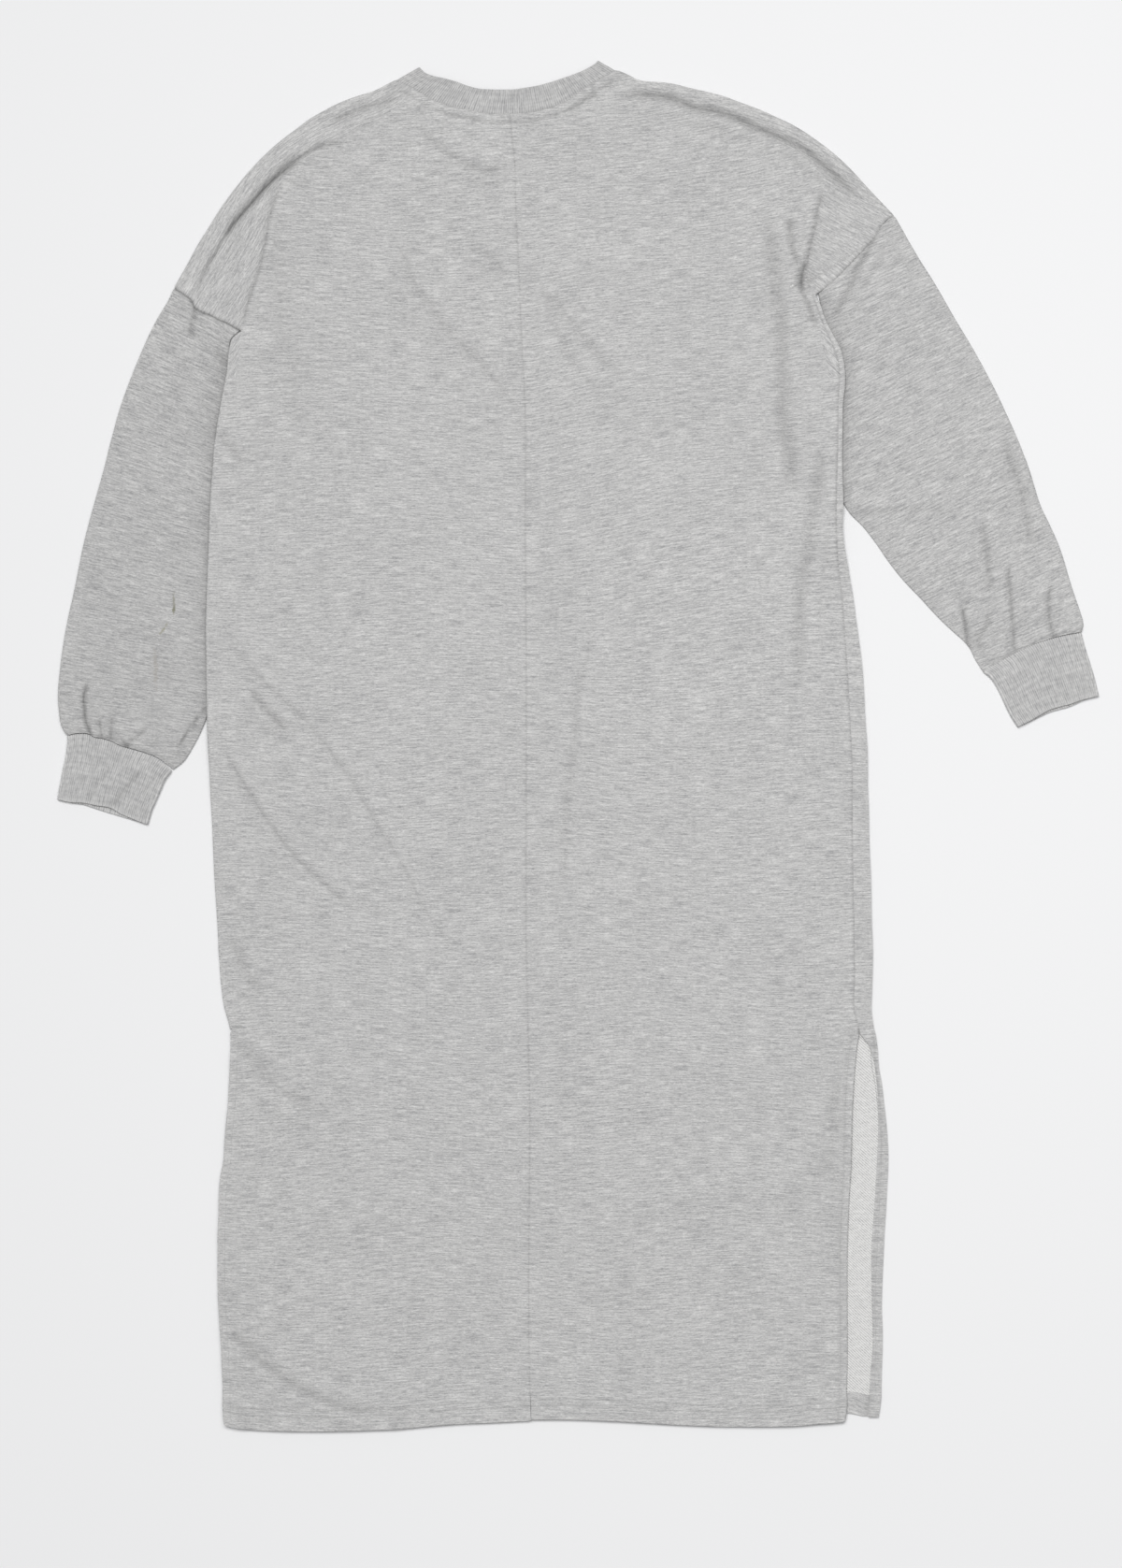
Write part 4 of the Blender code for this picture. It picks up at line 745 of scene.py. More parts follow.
def sleeve_level(side, x, y):
    """The sleeve's upper layer: it sinks where it goes under the body, and puffs out between
    gathers where it is sewn to the tighter cuff."""
    roll = edge_nearness(x, y)
    level = SLEEVE_LEVEL + (EDGE_LEVEL - SLEEVE_LEVEL) * roll
    level += creased(SLEEVE_CREASES[side], x, y) * (1 - 0.4 * roll)
    level += undulation(x, y) * (1 - 0.8 * roll)
    to_armhole, _ = near_line(ARMHOLES[side], x, y, 40)
    shared = fade(to_armhole / 32)
    level += (UPPER_LEVEL - SLEEVE_LEVEL) * shared * (1 - roll)
    level += creased(BACK_CREASES, x, y) * (1 - 0.55 * roll**2) * shared
    level += seam_relief(x, y)
    seam = even_path(SLEEVES[side]["seam"], 60)
    gap, _, where = nearest_on(seam, x, y)
    level += (RIB_UPPER - level) * fade(gap / 30) * (1 - roll)
    across = where * measured_along(seam)[-1]
    ripple = np.sin(across * 0.62 + 1.3 * np.sin(across * 0.21)) + 0.5 * np.sin(across * 1.07)
    level += (0.9 + 0.45 * ripple) * fade((gap - 3) / 24) * (1 - fade(gap / 4)) * (1 - 0.5 * roll)
    level -= 0.6 * np.exp(-gap / 1.2)
    tucked = fade((outside_body(side, x, y) - 1.5) / 11) * below_underarm(side, y)
    return level * (1 - tucked) + TUCK_LEVEL * tucked


# ---- light and shade painted into the cloth's colour --------------------------------------------

PAINTED_SHADE_LINES = (
    # line, distance from it, share of colour painted darker there as shade, and width
    (SIDE_SEAM, 0, 0.10, 1.3),
    (ARMHOLES["left"], 0, 0.37, 1.15),
    (ARMHOLES["right"], 0, 0.14, 1.3),
    (BACK_NECK, 0, 0.25, 1.5),
    (BACK_NECK, NECK_STITCH, 0.19, 1.1),
    (CENTRE_SEAM, 0, 0.09, 0.8),
)


def painted_edge_light(name, x, y):
    """Where light is painted on: 1 on the turned-up edges, 0 away from them."""
    if name.startswith("front"):
        return 0.6 * bell(above_hem(FRONT_HEM, x, y), 1.5)
    if not name.startswith("back"):
        return np.zeros(x.shape)
    slit = (x_at(BACK_SLIT_EDGE, y) - x) if name.endswith("right") else x - x_at(EDGE["left"], y) + 2
    in_slit = fade((y - SLIT_TOP + 12) / 12)
    return np.maximum(bell(above_hem(BACK_HEM, x, y), 1.5), 0.9 * in_slit * bell(slit, 2.6))


def cuff_edge_painted_light(name, x, y):
    """Where light is painted on: 1 at a cuff's folded edges, 0 away from them and on the neck band.
    """
    if not name.startswith("cuff"):
        return np.zeros(x.shape)
    table = SLEEVES[name.split("_")[1]]
    lines = [np.array(table[key], float) for key in ("cuff_outer", "cuff_inner", "end")]
    gap = np.min([nearest_on(line, x, y)[0] for line in lines], axis=0)
    return bell(gap, 1.4)


def front_lines(x, y):
    """Share of colour kept under the shade painted on the front's turn-ups: less along the slit's
    stitches and where its turned edge crosses the hem."""
    inside = x_at(EDGE["right"], y) - x
    heights, offsets, strengths = np.array(FRONT_SLIT_PAINTED_SHADE).T
    in_slit = fade((y - SLIT_TOP + 6) / 8)
    strength = np.interp(y, heights, strengths)
    kept = 1 - strength * in_slit * bell(inside - np.interp(y, heights, offsets), 1.1)
    above = above_hem(FRONT_HEM, x, y)
    crossing = bell(inside - 11.8, 1.7) * fade((above - HEM_DEPTH) / 2)
    return kept * (1 - 0.15 * crossing)


def upper_kept(name, x, y):
    """The share of colour that the upper layer keeps under the shade painted in creases, in seams
    and beside edges.
    """
    kept = 1 - crease_shade(BACK_CREASES, x, y)
    for line, offset, strength, width in PAINTED_SHADE_LINES:
        gap, _ = near_line(line, x, y, offset + 8)
        kept *= 1 - strength * bell(gap - offset, width)
    if name.startswith("sleeve"):
        side = name.split("_")[1]
        kept *= 1 - crease_shade(SLEEVE_CREASES[side], x, y)
        # painted shadow on the sleeve close beside the body's edge that lies over it
        outside = outside_body(side, x, y).clip(0)
        reach = np.interp(y, (50, 240, 300), (3.0, 4.6, 7.0)) if side == "left" else 4.5
        kept *= 1 - 0.24 * below_underarm(side, y) * np.exp(-outside / reach)
        return kept * SLEEVE_PAINTED_SHADE_KEPT[side]
    above = above_hem(BACK_HEM, x, y)
    # painted shade along the hem's first stitch row and where the turn-up below ends
    kept *= 1 - 0.07 * (bell(above - HEM_STITCHES[0], 0.8) + bell(above - HEM_DEPTH + 1, 0.9))
    # painted shade along the slit's stitch row
    inside = x_at(BACK_SLIT_EDGE, y) - x
    in_slit = fade((y - SLIT_TOP + 6) / 8)
    kept *= 1 - 0.08 * in_slit * bell(inside - 6.6, 1.7)
    # painted shadow at the slit's top, where the side seam ends
    knot = np.hypot(x - SLIT_KNOT[0], y - SLIT_KNOT[1])
    return kept * (1 - 0.3 * bell(knot, 1.8))


def painted_shade(name, points):
    """Painted shade: how much darker each point's colour is painted for lying in a crease, in a seam
    or close under an edge, and a little darker away from turned-up edges, which is painted light on
    those edges; only the upper layer's creases count, as the lower layer has none that show."""
    x = points[:, 0]
    y = points[:, 1]
    # cuffs and band: painted shade along the cuff's fold line, and painted light at the cuff's
    # folded edges
    if name.startswith(("cuff", "neck")):
        kept = 1 - crease_shade(CUFF_CREASES, x, y)
        return 1 - kept * (1 - CUFF_EDGE_PAINTED_LIGHT * (1 - cuff_edge_painted_light(name, x, y)))
    kept = front_lines(x, y) if name.startswith("front") else upper_kept(name, x, y)
    above = fade((FLOOR_LEVEL + 1.1 - points[:, 2]) / 0.4)
    return 1 - (1 - (1 - kept) * above) * (1 - EDGE_PAINTED_LIGHT * (1 - painted_edge_light(name, x, y)))

# ---- cloth as closed walls ----------------------------------------------------------------------


class Cloth:
    """Middle surface of one piece, the thickness on both sides of it, and the grain."""

    def __init__(self, thickness):
        self.half = thickness / 2
        self.count = 0
        self.points = []
        self.halves = []
        self.quads = []
        self.corners = []

    def add(self, grid, halves=None):
        grid = np.asarray(grid, float)
        shape = grid.shape[:-1]
        size = int(np.prod(shape))
        numbers = np.arange(self.count, self.count + size).reshape(shape)
        self.count += size
        self.points.append(grid.reshape(-1, 3))
        given = self.half if halves is None else halves
        self.halves.append((np.broadcast_to(given, shape).reshape(-1),
                            np.full(size, self.half)))
        return numbers

    def join(self, numbers, grain, flip=False):
        """Faces between the neighbours of a grid of points, with each corner's place in the
        cloth. Where grain has a second plan and a mask of faces, those faces take that one."""
        def corners(grid):
            four = [grid[:-1, :-1], grid[:-1, 1:], grid[1:, 1:], grid[1:, :-1]]
            return np.stack(four[::-1] if flip else four, axis=2)
        if isinstance(grain, tuple):
            first, second, mask = grain
            places = np.where(mask[..., None, None], corners(second), corners(first))
        else:
            places = corners(grain)
        self.quads.append(corners(numbers).reshape(-1, 4))
        self.corners.append(places.reshape(-1, 4, 2))

    def middle(self):
        return np.concatenate(self.points)

    def walls(self):
        """Points, faces, places in the cloth and material slots of the closed wall."""
        points = self.middle()
        quads = np.concatenate(self.quads)
        corners = np.concatenate(self.corners)
        a, b, c, d = (points[quads[:, k]] for k in range(4))
        facing = np.cross(c - a, d - b)
        out = np.zeros(points.shape)
        for k in range(4):
            for axis in range(3):
                out[:, axis] += np.bincount(quads[:, k], facing[:, axis], len(points))
        out = unit(out)
        above, below = (np.concatenate(part)[:, None] for part in zip(*self.halves))
        ends = np.stack([quads, np.roll(quads, -1, axis=1)], axis=2).reshape(-1, 2)
        places = np.stack([corners, np.roll(corners, -1, axis=1)], axis=2).reshape(-1, 2, 2)
        key = ends.min(axis=1) * len(points) + ends.max(axis=1)
        _, first, uses = np.unique(key, return_index=True, return_counts=True)
        rim = first[uses == 1]
        start, end = ends[rim].T
        sides = np.stack([end, start, start + len(points), end + len(points)], axis=1)
        side_places = places[rim][:, (1, 0, 0, 1)]
        faces = np.concatenate([quads, quads[:, ::-1] + len(points), sides])
        places = np.concatenate([corners, corners[:, ::-1], side_places])
        slots = np.repeat([0, 1, 0], [len(quads), len(quads), len(sides)])
        return np.concatenate([points + out * above, points - out * below]), faces, places, slots


def roll_between(top, bottom, outward):
    """Points round a folded edge from its upper to its lower layer, both left out."""
    middle = (top + bottom) / 2
    radius = (top[..., 2] - bottom[..., 2]) / 2
    columns = []
    for step in range(1, ROLL_STEPS):
        angle = np.pi * step / ROLL_STEPS
        point = middle.copy()
        point[..., :2] += outward * (radius * np.sin(angle))[..., None]
        point[..., 2] += radius * np.cos(angle)
        columns.append(point)
    return columns


def lifted(plan, level):
    """The plan's points at a level, which is a height or gives one for each place."""
    x = plan[..., 0]
    y = plan[..., 1]
    height = level(x, y) if callable(level) else np.broadcast_to(float(level), x.shape)
    return np.concatenate([plan, height[..., None]], axis=-1)


def rolled_under(edge, outward, level):
    """Points from a folded edge round it and on below it, for the width that is wrapped under."""
    bottom = lifted(edge[:, :2], level)
    wraps = [lifted(bottom[:, :2] - outward * UNDER_WRAP * part, level) for part in (0.4, 1.0)]
    return roll_between(edge, bottom, outward) + [bottom] + wraps


def spread(centre, side, bottom, top, across, power):
    """Plan of a four-sided panel: rows run from centre to side, and follow bottom and top the
    more the nearer they are."""
    height = (centre[:, 1] - centre[0, 1]) / (centre[-1, 1] - centre[0, 1])
    across = np.asarray(across)[None, :, None]
    rows = (1 - across) * centre[:, None] + across * side[:, None]
    low = bottom[None] - (1 - across) * bottom[0] - across * bottom[-1]
    high = top[None] - (1 - across) * top[0] - across * top[-1]
    height = height[:, None, None]
    return rows + (1 - height) ** power * low + height**power * high


# ---- grain --------------------------------------------------------------------------------------


def body_grain(x, y):
    """Streaks run across the body, and rise a little towards the upper right."""
    rise = 0.13 * fade((230 - y) / 220) * np.maximum(x + 40, 0)
    return np.stack([x, y - rise + 3.0 * np.sin(x / 47.0 + y / 90.0)], axis=-1)


def shoulder_grain(side, x, y):
    """Near the shoulder's fold the streaks run along it, on the right only in part."""
    gap, _, where = nearest_on(OUTLINES[side][1][::3], x, y)
    length = measured_along(OUTLINES[side][1])[-1]
    across = 900 - gap if side == "left" else 900 - 0.65 * gap + 0.35 * y
    return np.stack([where * length, across + 2.5 * np.sin(where * length / 30)], axis=-1)


def beyond_turn(side, x, y):
    """True on the shoulder side of the line where the grain turns."""
    box = (y > 330) & ((x < -120) if side == "left" else (x > 20))
    result = np.zeros(x.shape, bool)
    _, facing, _ = nearest_on(np.array(GRAIN_TURN[side], float), x[box], y[box])
    result[box] = facing * INWARD[side] < 0
    return result


def panel_grain(side, plan):
    """The two plans of grain over a half panel, and which faces take the second."""
    x = plan[..., 0]
    y = plan[..., 1]
    middle = (plan[:-1, :-1] + plan[1:, 1:]) / 2
    turned = beyond_turn(side, middle[..., 0], middle[..., 1])
    return body_grain(x, y), shoulder_grain(side, x, y), turned


def sleeve_grain(side, x, y):
    """Streaks cross the sleeve at slopes that change down its length."""
    line = np.array(SLEEVES[side]["centre_line"], float)[::-1]
    slopes = np.array(SLEEVES[side]["slope"])[::-1]
    height = y
    for _ in range(5):
        slope = np.interp(height, line[:, 1], slopes)
        height = y - slope * (x - np.interp(height, line[:, 1], line[:, 0]))
    turn = np.arctan(np.interp(height, line[:, 1], slopes))
    across = (x - np.interp(height, line[:, 1], line[:, 0])) / np.cos(turn)
    return np.stack([across + 400, height * np.cos(turn) - 800], axis=-1)


# ---- body panels --------------------------------------------------------------------------------


def columns_of(step, seamed):
    """Columns from the centre to the side, close together at the side and at a centre seam."""
    outer = steps_between(FINE[-1], NECK_POINT, step)[:-1]
    if seamed:
        inner = steps_between(NECK_POINT, HALF_WIDTH - FINE[-1], step)
        inner = np.concatenate([inner, (HALF_WIDTH - FINE[::-1])[1:]])
    else:
        inner = steps_between(NECK_POINT, HALF_WIDTH, step)
    return np.concatenate([FINE[:-1], outer, inner])[::-1]


def armhole_ends(side):
    """The ways along the armhole at its underarm end and at its shoulder end."""
    line = ARMHOLES[side]
    return unit(line[2] - line[0]), unit(line[-1] - line[-4])


def body_side(side, reach, shoulder_reach, slit_edge, hem_corner, step, seam=None):
    """A panel's side from the hem to the shoulder's end of the armhole: the boundary, the way out
    across each folded edge, and the numbers of rows up to the slit top and the underarm."""
    above_hem_rows = HEM_ROWS[-1] + step
    stretch = (SLIT_TOP - hem_corner[1] - above_hem_rows) / (SLIT_ROWS - above_hem_rows)
    rise = steps_between(above_hem_rows, SLIT_ROWS - step, step) - HEM_ROWS[-1]
    rise = np.concatenate([HEM_ROWS, HEM_ROWS[-1] + rise * stretch])
    heights = hem_corner[1] + rise
    slit = np.stack([slit_edge(heights) + INWARD[side] * HEM_ROLL, heights], axis=1)
    slit[:, 1] += HEM_ROLL * fade(rise / 6)
    heights = steps_between(SLIT_TOP, SIDE_TOP, step)
    sides = np.stack([x_at(EDGE[side], heights), heights], axis=1)
    curve = path(UNDERARM[side], steps_between(0, 1, step / 60))
    folded = np.concatenate([sides, curve[1:]])
    outward = beside(folded, towards_left=side == "left")
    under_out, shoulder_out = armhole_ends(side)
    left_over = measured_along(folded[::-1])[::-1]
    outward = eased(outward, under_out, left_over, 8)
    inset = folded - outward * reach
    if seam is not None:
        low_seam = np.stack([x_at(seam, heights), heights], axis=1)
        high_seam = np.array([(x_at(seam, [SIDE_TOP])[0], SIDE_TOP)]
                             + [point for point in seam if point[1] > SIDE_TOP + 2])
        high_seam = even_path(high_seam, len(curve))
        inset = np.concatenate([low_seam, high_seam[1:]])
        inset -= outward * SEAM_DRAW
    fine = FINE / ARMHOLE_LENGTH
    fractions = np.concatenate([steps_between(0, 1 - fine[-1], step / ARMHOLE_LENGTH),
                                1 - fine[::-1][1:]])
    arm = path(ARMHOLE[side], fractions)
    end = ARMHOLES[side][-1] - shoulder_out * shoulder_reach
    arm = arm + (end - arm[-1]) * fade(measured_along(arm[::-1])[::-1] / 16)[:, None]
    boundary = np.concatenate([slit, inset, arm[1:]])
    return boundary, outward, (len(slit), len(slit) + len(folded)), fractions, shoulder_out


def body_top(side, neck, columns, shoulder_out, reach):
    """A panel's top from the centre along the neck seam, then inside the shoulder's fold."""
    neck_columns = columns[columns > NECK_POINT]
    shoulder_columns = columns[columns <= NECK_POINT]
    neck_line = path(neck, (HALF_WIDTH - neck_columns) / (HALF_WIDTH - NECK_POINT))
    edge = path(SHOULDER[side], (NECK_POINT - shoulder_columns) / NECK_POINT)
    outward = beside(edge, towards_left=side == "right")
    outward = eased(outward, unit(NECK_OUTWARD[side]), NECK_POINT - shoulder_columns, 14)
    outward = eased(outward, shoulder_out, shoulder_columns, 14)
    return np.concatenate([neck_line, edge - outward * reach]), outward


def half_panel(side, centre_top, neck, hem, reach, shoulder_reach, slit_edge, step, seamed=True,
               heights=None, seam=None):
    """Plan grid of half the body's width and what is needed to fold its edges."""
    columns = columns_of(step, seamed)
    boundary, out, (slit_end, fold_end), fractions, shoulder_out = body_side(
        side, reach, shoulder_reach, slit_edge, hem[-1], step, seam)
    top, shoulder_outs = body_top(side, neck, columns, shoulder_out, shoulder_reach)
    low = boundary[:fold_end, 1].copy()
    low += (hem[0][1] + HEM_ROLL - low[0]) * fade((low - low[0]) / 80)
    if heights is None:
        heights = np.concatenate([low, low[-1] + fractions[1:] * (centre_top[1] - low[-1])])
    centre = np.stack([x_at(BACK_SEAM, heights), heights], axis=1)
    centre[:, 0] += (centre_top[0] - centre[-1, 0]) * fade((centre_top[1] - heights) / 60)
    raised = np.array(hem) + [0, HEM_ROLL]
    across = 1 - columns / HALF_WIDTH
    bottom = between(raised, across, centre[0], boundary[0])
    top[0] = centre[-1]
    top[-1] = boundary[-1]
    plan = spread(centre, boundary, bottom, top, across, power=6)
    neck_column = int(np.searchsorted(-columns, -NECK_POINT))
    if seamed:
        plan[:, 0, 0] -= INWARD[side] * SEAM_DRAW
    neck_row = plan[-1, : neck_column + 1]
    plan[-1, : neck_column + 1] += beside(neck_row, side == "left") * SEAM_DRAW
    arm = plan[fold_end - 1:, -1]
    plan[fold_end - 1:, -1] += beside(arm, side == "right") * SEAM_DRAW
    return {"plan": plan, "out": out, "heights": heights, "slit_end": slit_end,
            "fold_end": fold_end, "shoulder_out": shoulder_outs, "neck_column": neck_column}


def add_hem_turn_up(cloth, numbers, level, flip, lift, shift=0.0):
    """The hem's edge turned up once: a strip below the back, or on top of the front."""
    edge = cloth.middle()[numbers[0]]
    outward = beside(edge[:, :2], towards_left=edge[-1, 0] < edge[0, 0])
    rise = np.array([0, 0, lift])
    rows = roll_between(edge, edge + rise, outward)
    rows += [lifted(edge[:, :2] - outward * depth, level) + rise for depth in HEM_STRIP]
    rows = np.array(rows)[::-1]
    grid = np.concatenate([cloth.add(rows), numbers[:1]])
    places = np.concatenate([rows, edge[None]])
    lengths = np.linalg.norm(np.diff(places, axis=0), axis=2)
    down = np.concatenate([np.cumsum(lengths[::-1], axis=0)[::-1], np.zeros((1, len(edge)))])
    grain = body_grain(places[..., 0], edge[None, :, 1] - down)
    cloth.join(grid, grain + [shift, 0], flip)


def slit_lifts(edge, lift):
    """The slit's turn-up lies higher where it passes over the hem's."""
    above = edge[:, 1] - edge[0, 1]
    return lift * (1 + fade((above - HEM_DEPTH) / 7))


def add_slit_turn_up(cloth, edge_numbers, level, flip, lift, inward, inner_edge, first):
    """A slit's edge turned in once, over the hem's own turn-up at its lower end."""
    edge = cloth.middle()[edge_numbers]
    outward = np.repeat([[-float(inward), 0.0]], len(edge), 0)
    rise = np.zeros(edge.shape)
    rise[:, 2] = slit_lifts(edge, lift)
    columns = [edge] + roll_between(edge, edge + rise, outward)
    width = np.maximum(np.abs(inner_edge(edge[:, 1]) - edge[:, 0]), 2.0)
    for part in (0, 0.2, 0.4, 0.6, 0.8, 1):
        place = edge[:, :2].copy()
        place[:, 0] += inward * width * part
        columns.append(lifted(place, level) + rise)
    columns = np.stack(columns, axis=1)
    grid = np.concatenate([edge_numbers[:, None], cloth.add(columns[:, 1:])], axis=1)
    plan = columns[..., :2]
    if first:
        grid = grid[:, ::-1]
        plan = plan[:, ::-1]
    cloth.join(grid, body_grain(plan[..., 0] + 31, plan[..., 1] + 57), flip)


def add_shoulder_roll(cloth, numbers, outward, side, flip):
    """The back's cloth over the shoulder and a little way under the front."""
    edge = cloth.middle()[numbers]
    rows = np.array([edge] + rolled_under(edge, outward, FLOOR_LEVEL))
    grid = np.concatenate([numbers[None], cloth.add(rows[1:])])
    start = shoulder_grain(side, edge[:, 0], edge[:, 1])
    down = np.concatenate([[0], np.cumsum(np.linalg.norm(np.diff(rows[:, 5], axis=0), axis=1))])
    grain = start[None] + np.stack([0 * down, down], axis=1)[:, None]
    cloth.join(grid, grain, flip)


def add_columns(cloth, numbers, edge, columns, shift):
    """Columns of points that carry on from a panel's side."""
    grid = np.concatenate([numbers[:, None], cloth.add(columns)], axis=1)
    places = np.concatenate([edge[:, None], columns], axis=1)
    cloth.join(grid, body_grain(places[..., 0] + shift[0], places[..., 1] + shift[1]), flip=True)


def make_back(side):
    left = side == "left"
    slit_edge = EDGE["left"] if left else BACK_SLIT_EDGE
    panel = half_panel(side, NECK_SEAM[side][0], NECK_SEAM[side], HEM[side], ROLL, ROLL,
                       lambda y: x_at(slit_edge, y), BACK_STEP, seam=None if left else RIGHT_SEAM)
    plan = drawn_in(panel["plan"], BACK_CREASES)
    cloth = Cloth(CLOTH)
    numbers = cloth.add(lifted(plan, upper_level))
    cloth.join(numbers, panel_grain(side, plan), flip=left)
    add_hem_turn_up(cloth, numbers, upper_level, left, -2 * HEM_RADIUS)
    slit = numbers[: panel["slit_end"], -1]
    inward = INWARD[side]
    add_slit_turn_up(cloth, slit, upper_level, left, -2 * HEM_RADIUS, inward,
                     lambda y: x_at(slit_edge, y) + inward * SLIT_TURN, False)
    add_shoulder_roll(cloth, numbers[-1, panel["neck_column"]:], panel["shoulder_out"], side, left)
    if left:
        fold = numbers[panel["slit_end"]: panel["fold_end"], -1]
        edge = cloth.middle()[fold]
        columns = np.stack(rolled_under(edge, panel["out"], front_level), axis=1)
        add_columns(cloth, fold, edge, columns, (-7, 0))
    return cloth


def make_front():
    under = ROLL + UNDER_WRAP + SEAM_GAP
    left_slit, right_slit = (lambda y: x_at(EDGE["left"], y) + FRONT_INSET,
                             lambda y: x_at(EDGE["right"], y))
    reaches = {"left": (under, left_slit), "right": (ROLL, right_slit)}

    def half(side, heights):
        reach, slit_edge = reaches[side]
        return half_panel(side, FRONT_NECK_SEAM[side][0], FRONT_NECK_SEAM[side],
                          FRONT_HEM_LINE[side], reach, under, slit_edge, FRONT_STEP, False, heights)

    shared = (half("left", None)["heights"] + half("right", None)["heights"]) / 2
    left = half("left", shared)
    right = half("right", shared)
    plan = np.concatenate([left["plan"][:, :0:-1], right["plan"]], axis=1)
    cloth = Cloth(CLOTH)
    numbers = cloth.add(lifted(plan, front_level))
    cloth.join(numbers, body_grain(plan[..., 0], plan[..., 1]) + [FRONT_SHIFT, 0], flip=True)
    add_hem_turn_up(cloth, numbers, front_level, True, 2 * HEM_RADIUS, FRONT_SHIFT)
    add_slit_turn_up(cloth, numbers[: left["slit_end"], 0], front_level, True, 2 * HEM_RADIUS, 1,
                     lambda y: left_slit(y) + SLIT_TURN, True)
    add_right_side(cloth, numbers[: right["fold_end"], -1], right, under, right_slit)
    return cloth


def add_right_side(cloth, numbers, panel, under, slit_edge):
    """The front's cloth turned in along the right slit, and above it folded up over the side to
    the seam on top."""
    end = panel["slit_end"]
    edge = cloth.middle()[numbers]
    outward = np.concatenate([np.repeat([[1.0, 0.0]], end, 0), panel["out"]])
    boundary = body_side("right", ROLL, under, slit_edge, FRONT_HEM_LINE["right"][-1], FRONT_STEP,
                         RIGHT_SEAM)[0]
    seam = boundary[: len(edge)] + outward * 2 * SEAM_DRAW
    heights = edge[:end, 1]
    seam[:end] = np.stack([x_at(FRONT_SLIT_INNER, heights), heights], axis=1)
    lifts = slit_lifts(edge[:end], 2 * HEM_RADIUS)
    lifts += (EDGE_LEVEL - FLOOR_LEVEL - lifts) * fade((SLIT_TOP - heights) / 45)

    def on_top(place):
        level = upper_level(place[:, 0], place[:, 1])
        level[:end] = front_level(place[:end, 0], place[:end, 1]) + lifts
        return np.concatenate([place, level[:, None]], axis=1)

    top = on_top(edge[:, :2])
    columns = roll_between(edge, top, outward) + [top]
    for part in (0.15, 0.32, 0.5, 0.66, 0.78, 0.86, 0.92, 0.96, 1.0):
        columns.append(on_top(top[:, :2] + (seam - top[:, :2]) * part))
    add_columns(cloth, numbers, edge, np.stack(columns, axis=1), (13, 5))


# ---- sleeves, cuffs and neck band ---------------------------------------------------------------


def tube(cloth, top, bottom, first_out, last_out, grain, flip, halves=None):
    """A flattened tube: rows along it, each closed round its two folded edges. grain gives the
    places of top, and the cloth below carries on from them round each fold."""
    last = roll_between(top[:, -1], bottom[:, -1], last_out)
    first = roll_between(top[:, 0], bottom[:, 0], first_out)[::-1]
    ring = [top[:, k] for k in range(top.shape[1])] + last
    ring += [bottom[:, k] for k in reversed(range(bottom.shape[1]))] + first
    ring = np.stack(ring, axis=1)
    sizes = None
    if halves is not None:
        edges = ROLL_STEPS - 1
        sizes = np.concatenate([halves, np.repeat(halves[:, -1:], edges, 1), halves[:, ::-1],
                                np.repeat(halves[:, :1], edges, 1)], axis=1)
    numbers = cloth.add(ring, sizes)
    numbers = np.concatenate([numbers, numbers[:, :1]], axis=1)
    plan = np.concatenate([ring, ring[:, :1]], axis=1)
    around = np.concatenate([np.zeros((len(plan), 1)), np.cumsum(np.linalg.norm(
        np.diff(plan, axis=1), axis=2), axis=1)], axis=1)
    count = top.shape[1]
    past = (around - around[:, count - 1:count])[:, count:]
    slope = unit(grain[:, -1:] - grain[:, -2:-1])
    rest = grain[:, -1:] + slope * past[..., None]
    cloth.join(numbers, np.concatenate([grain, rest], axis=1), flip)


def patch(outer, inner, start, end, along, across, start_share, end_share):
    """Plan between two sides whose first and last rows follow start and end."""
    mix = across[None, :, None]
    along = along[:, None, None]
    plan = (1 - mix) * outer[:, None] + mix * inner[:, None]
    plan += start_share(along) * (start[None] - (1 - mix) * start[0] - mix * start[-1])
    return plan + end_share(along) * (end[None] - (1 - mix) * end[0] - mix * end[-1])


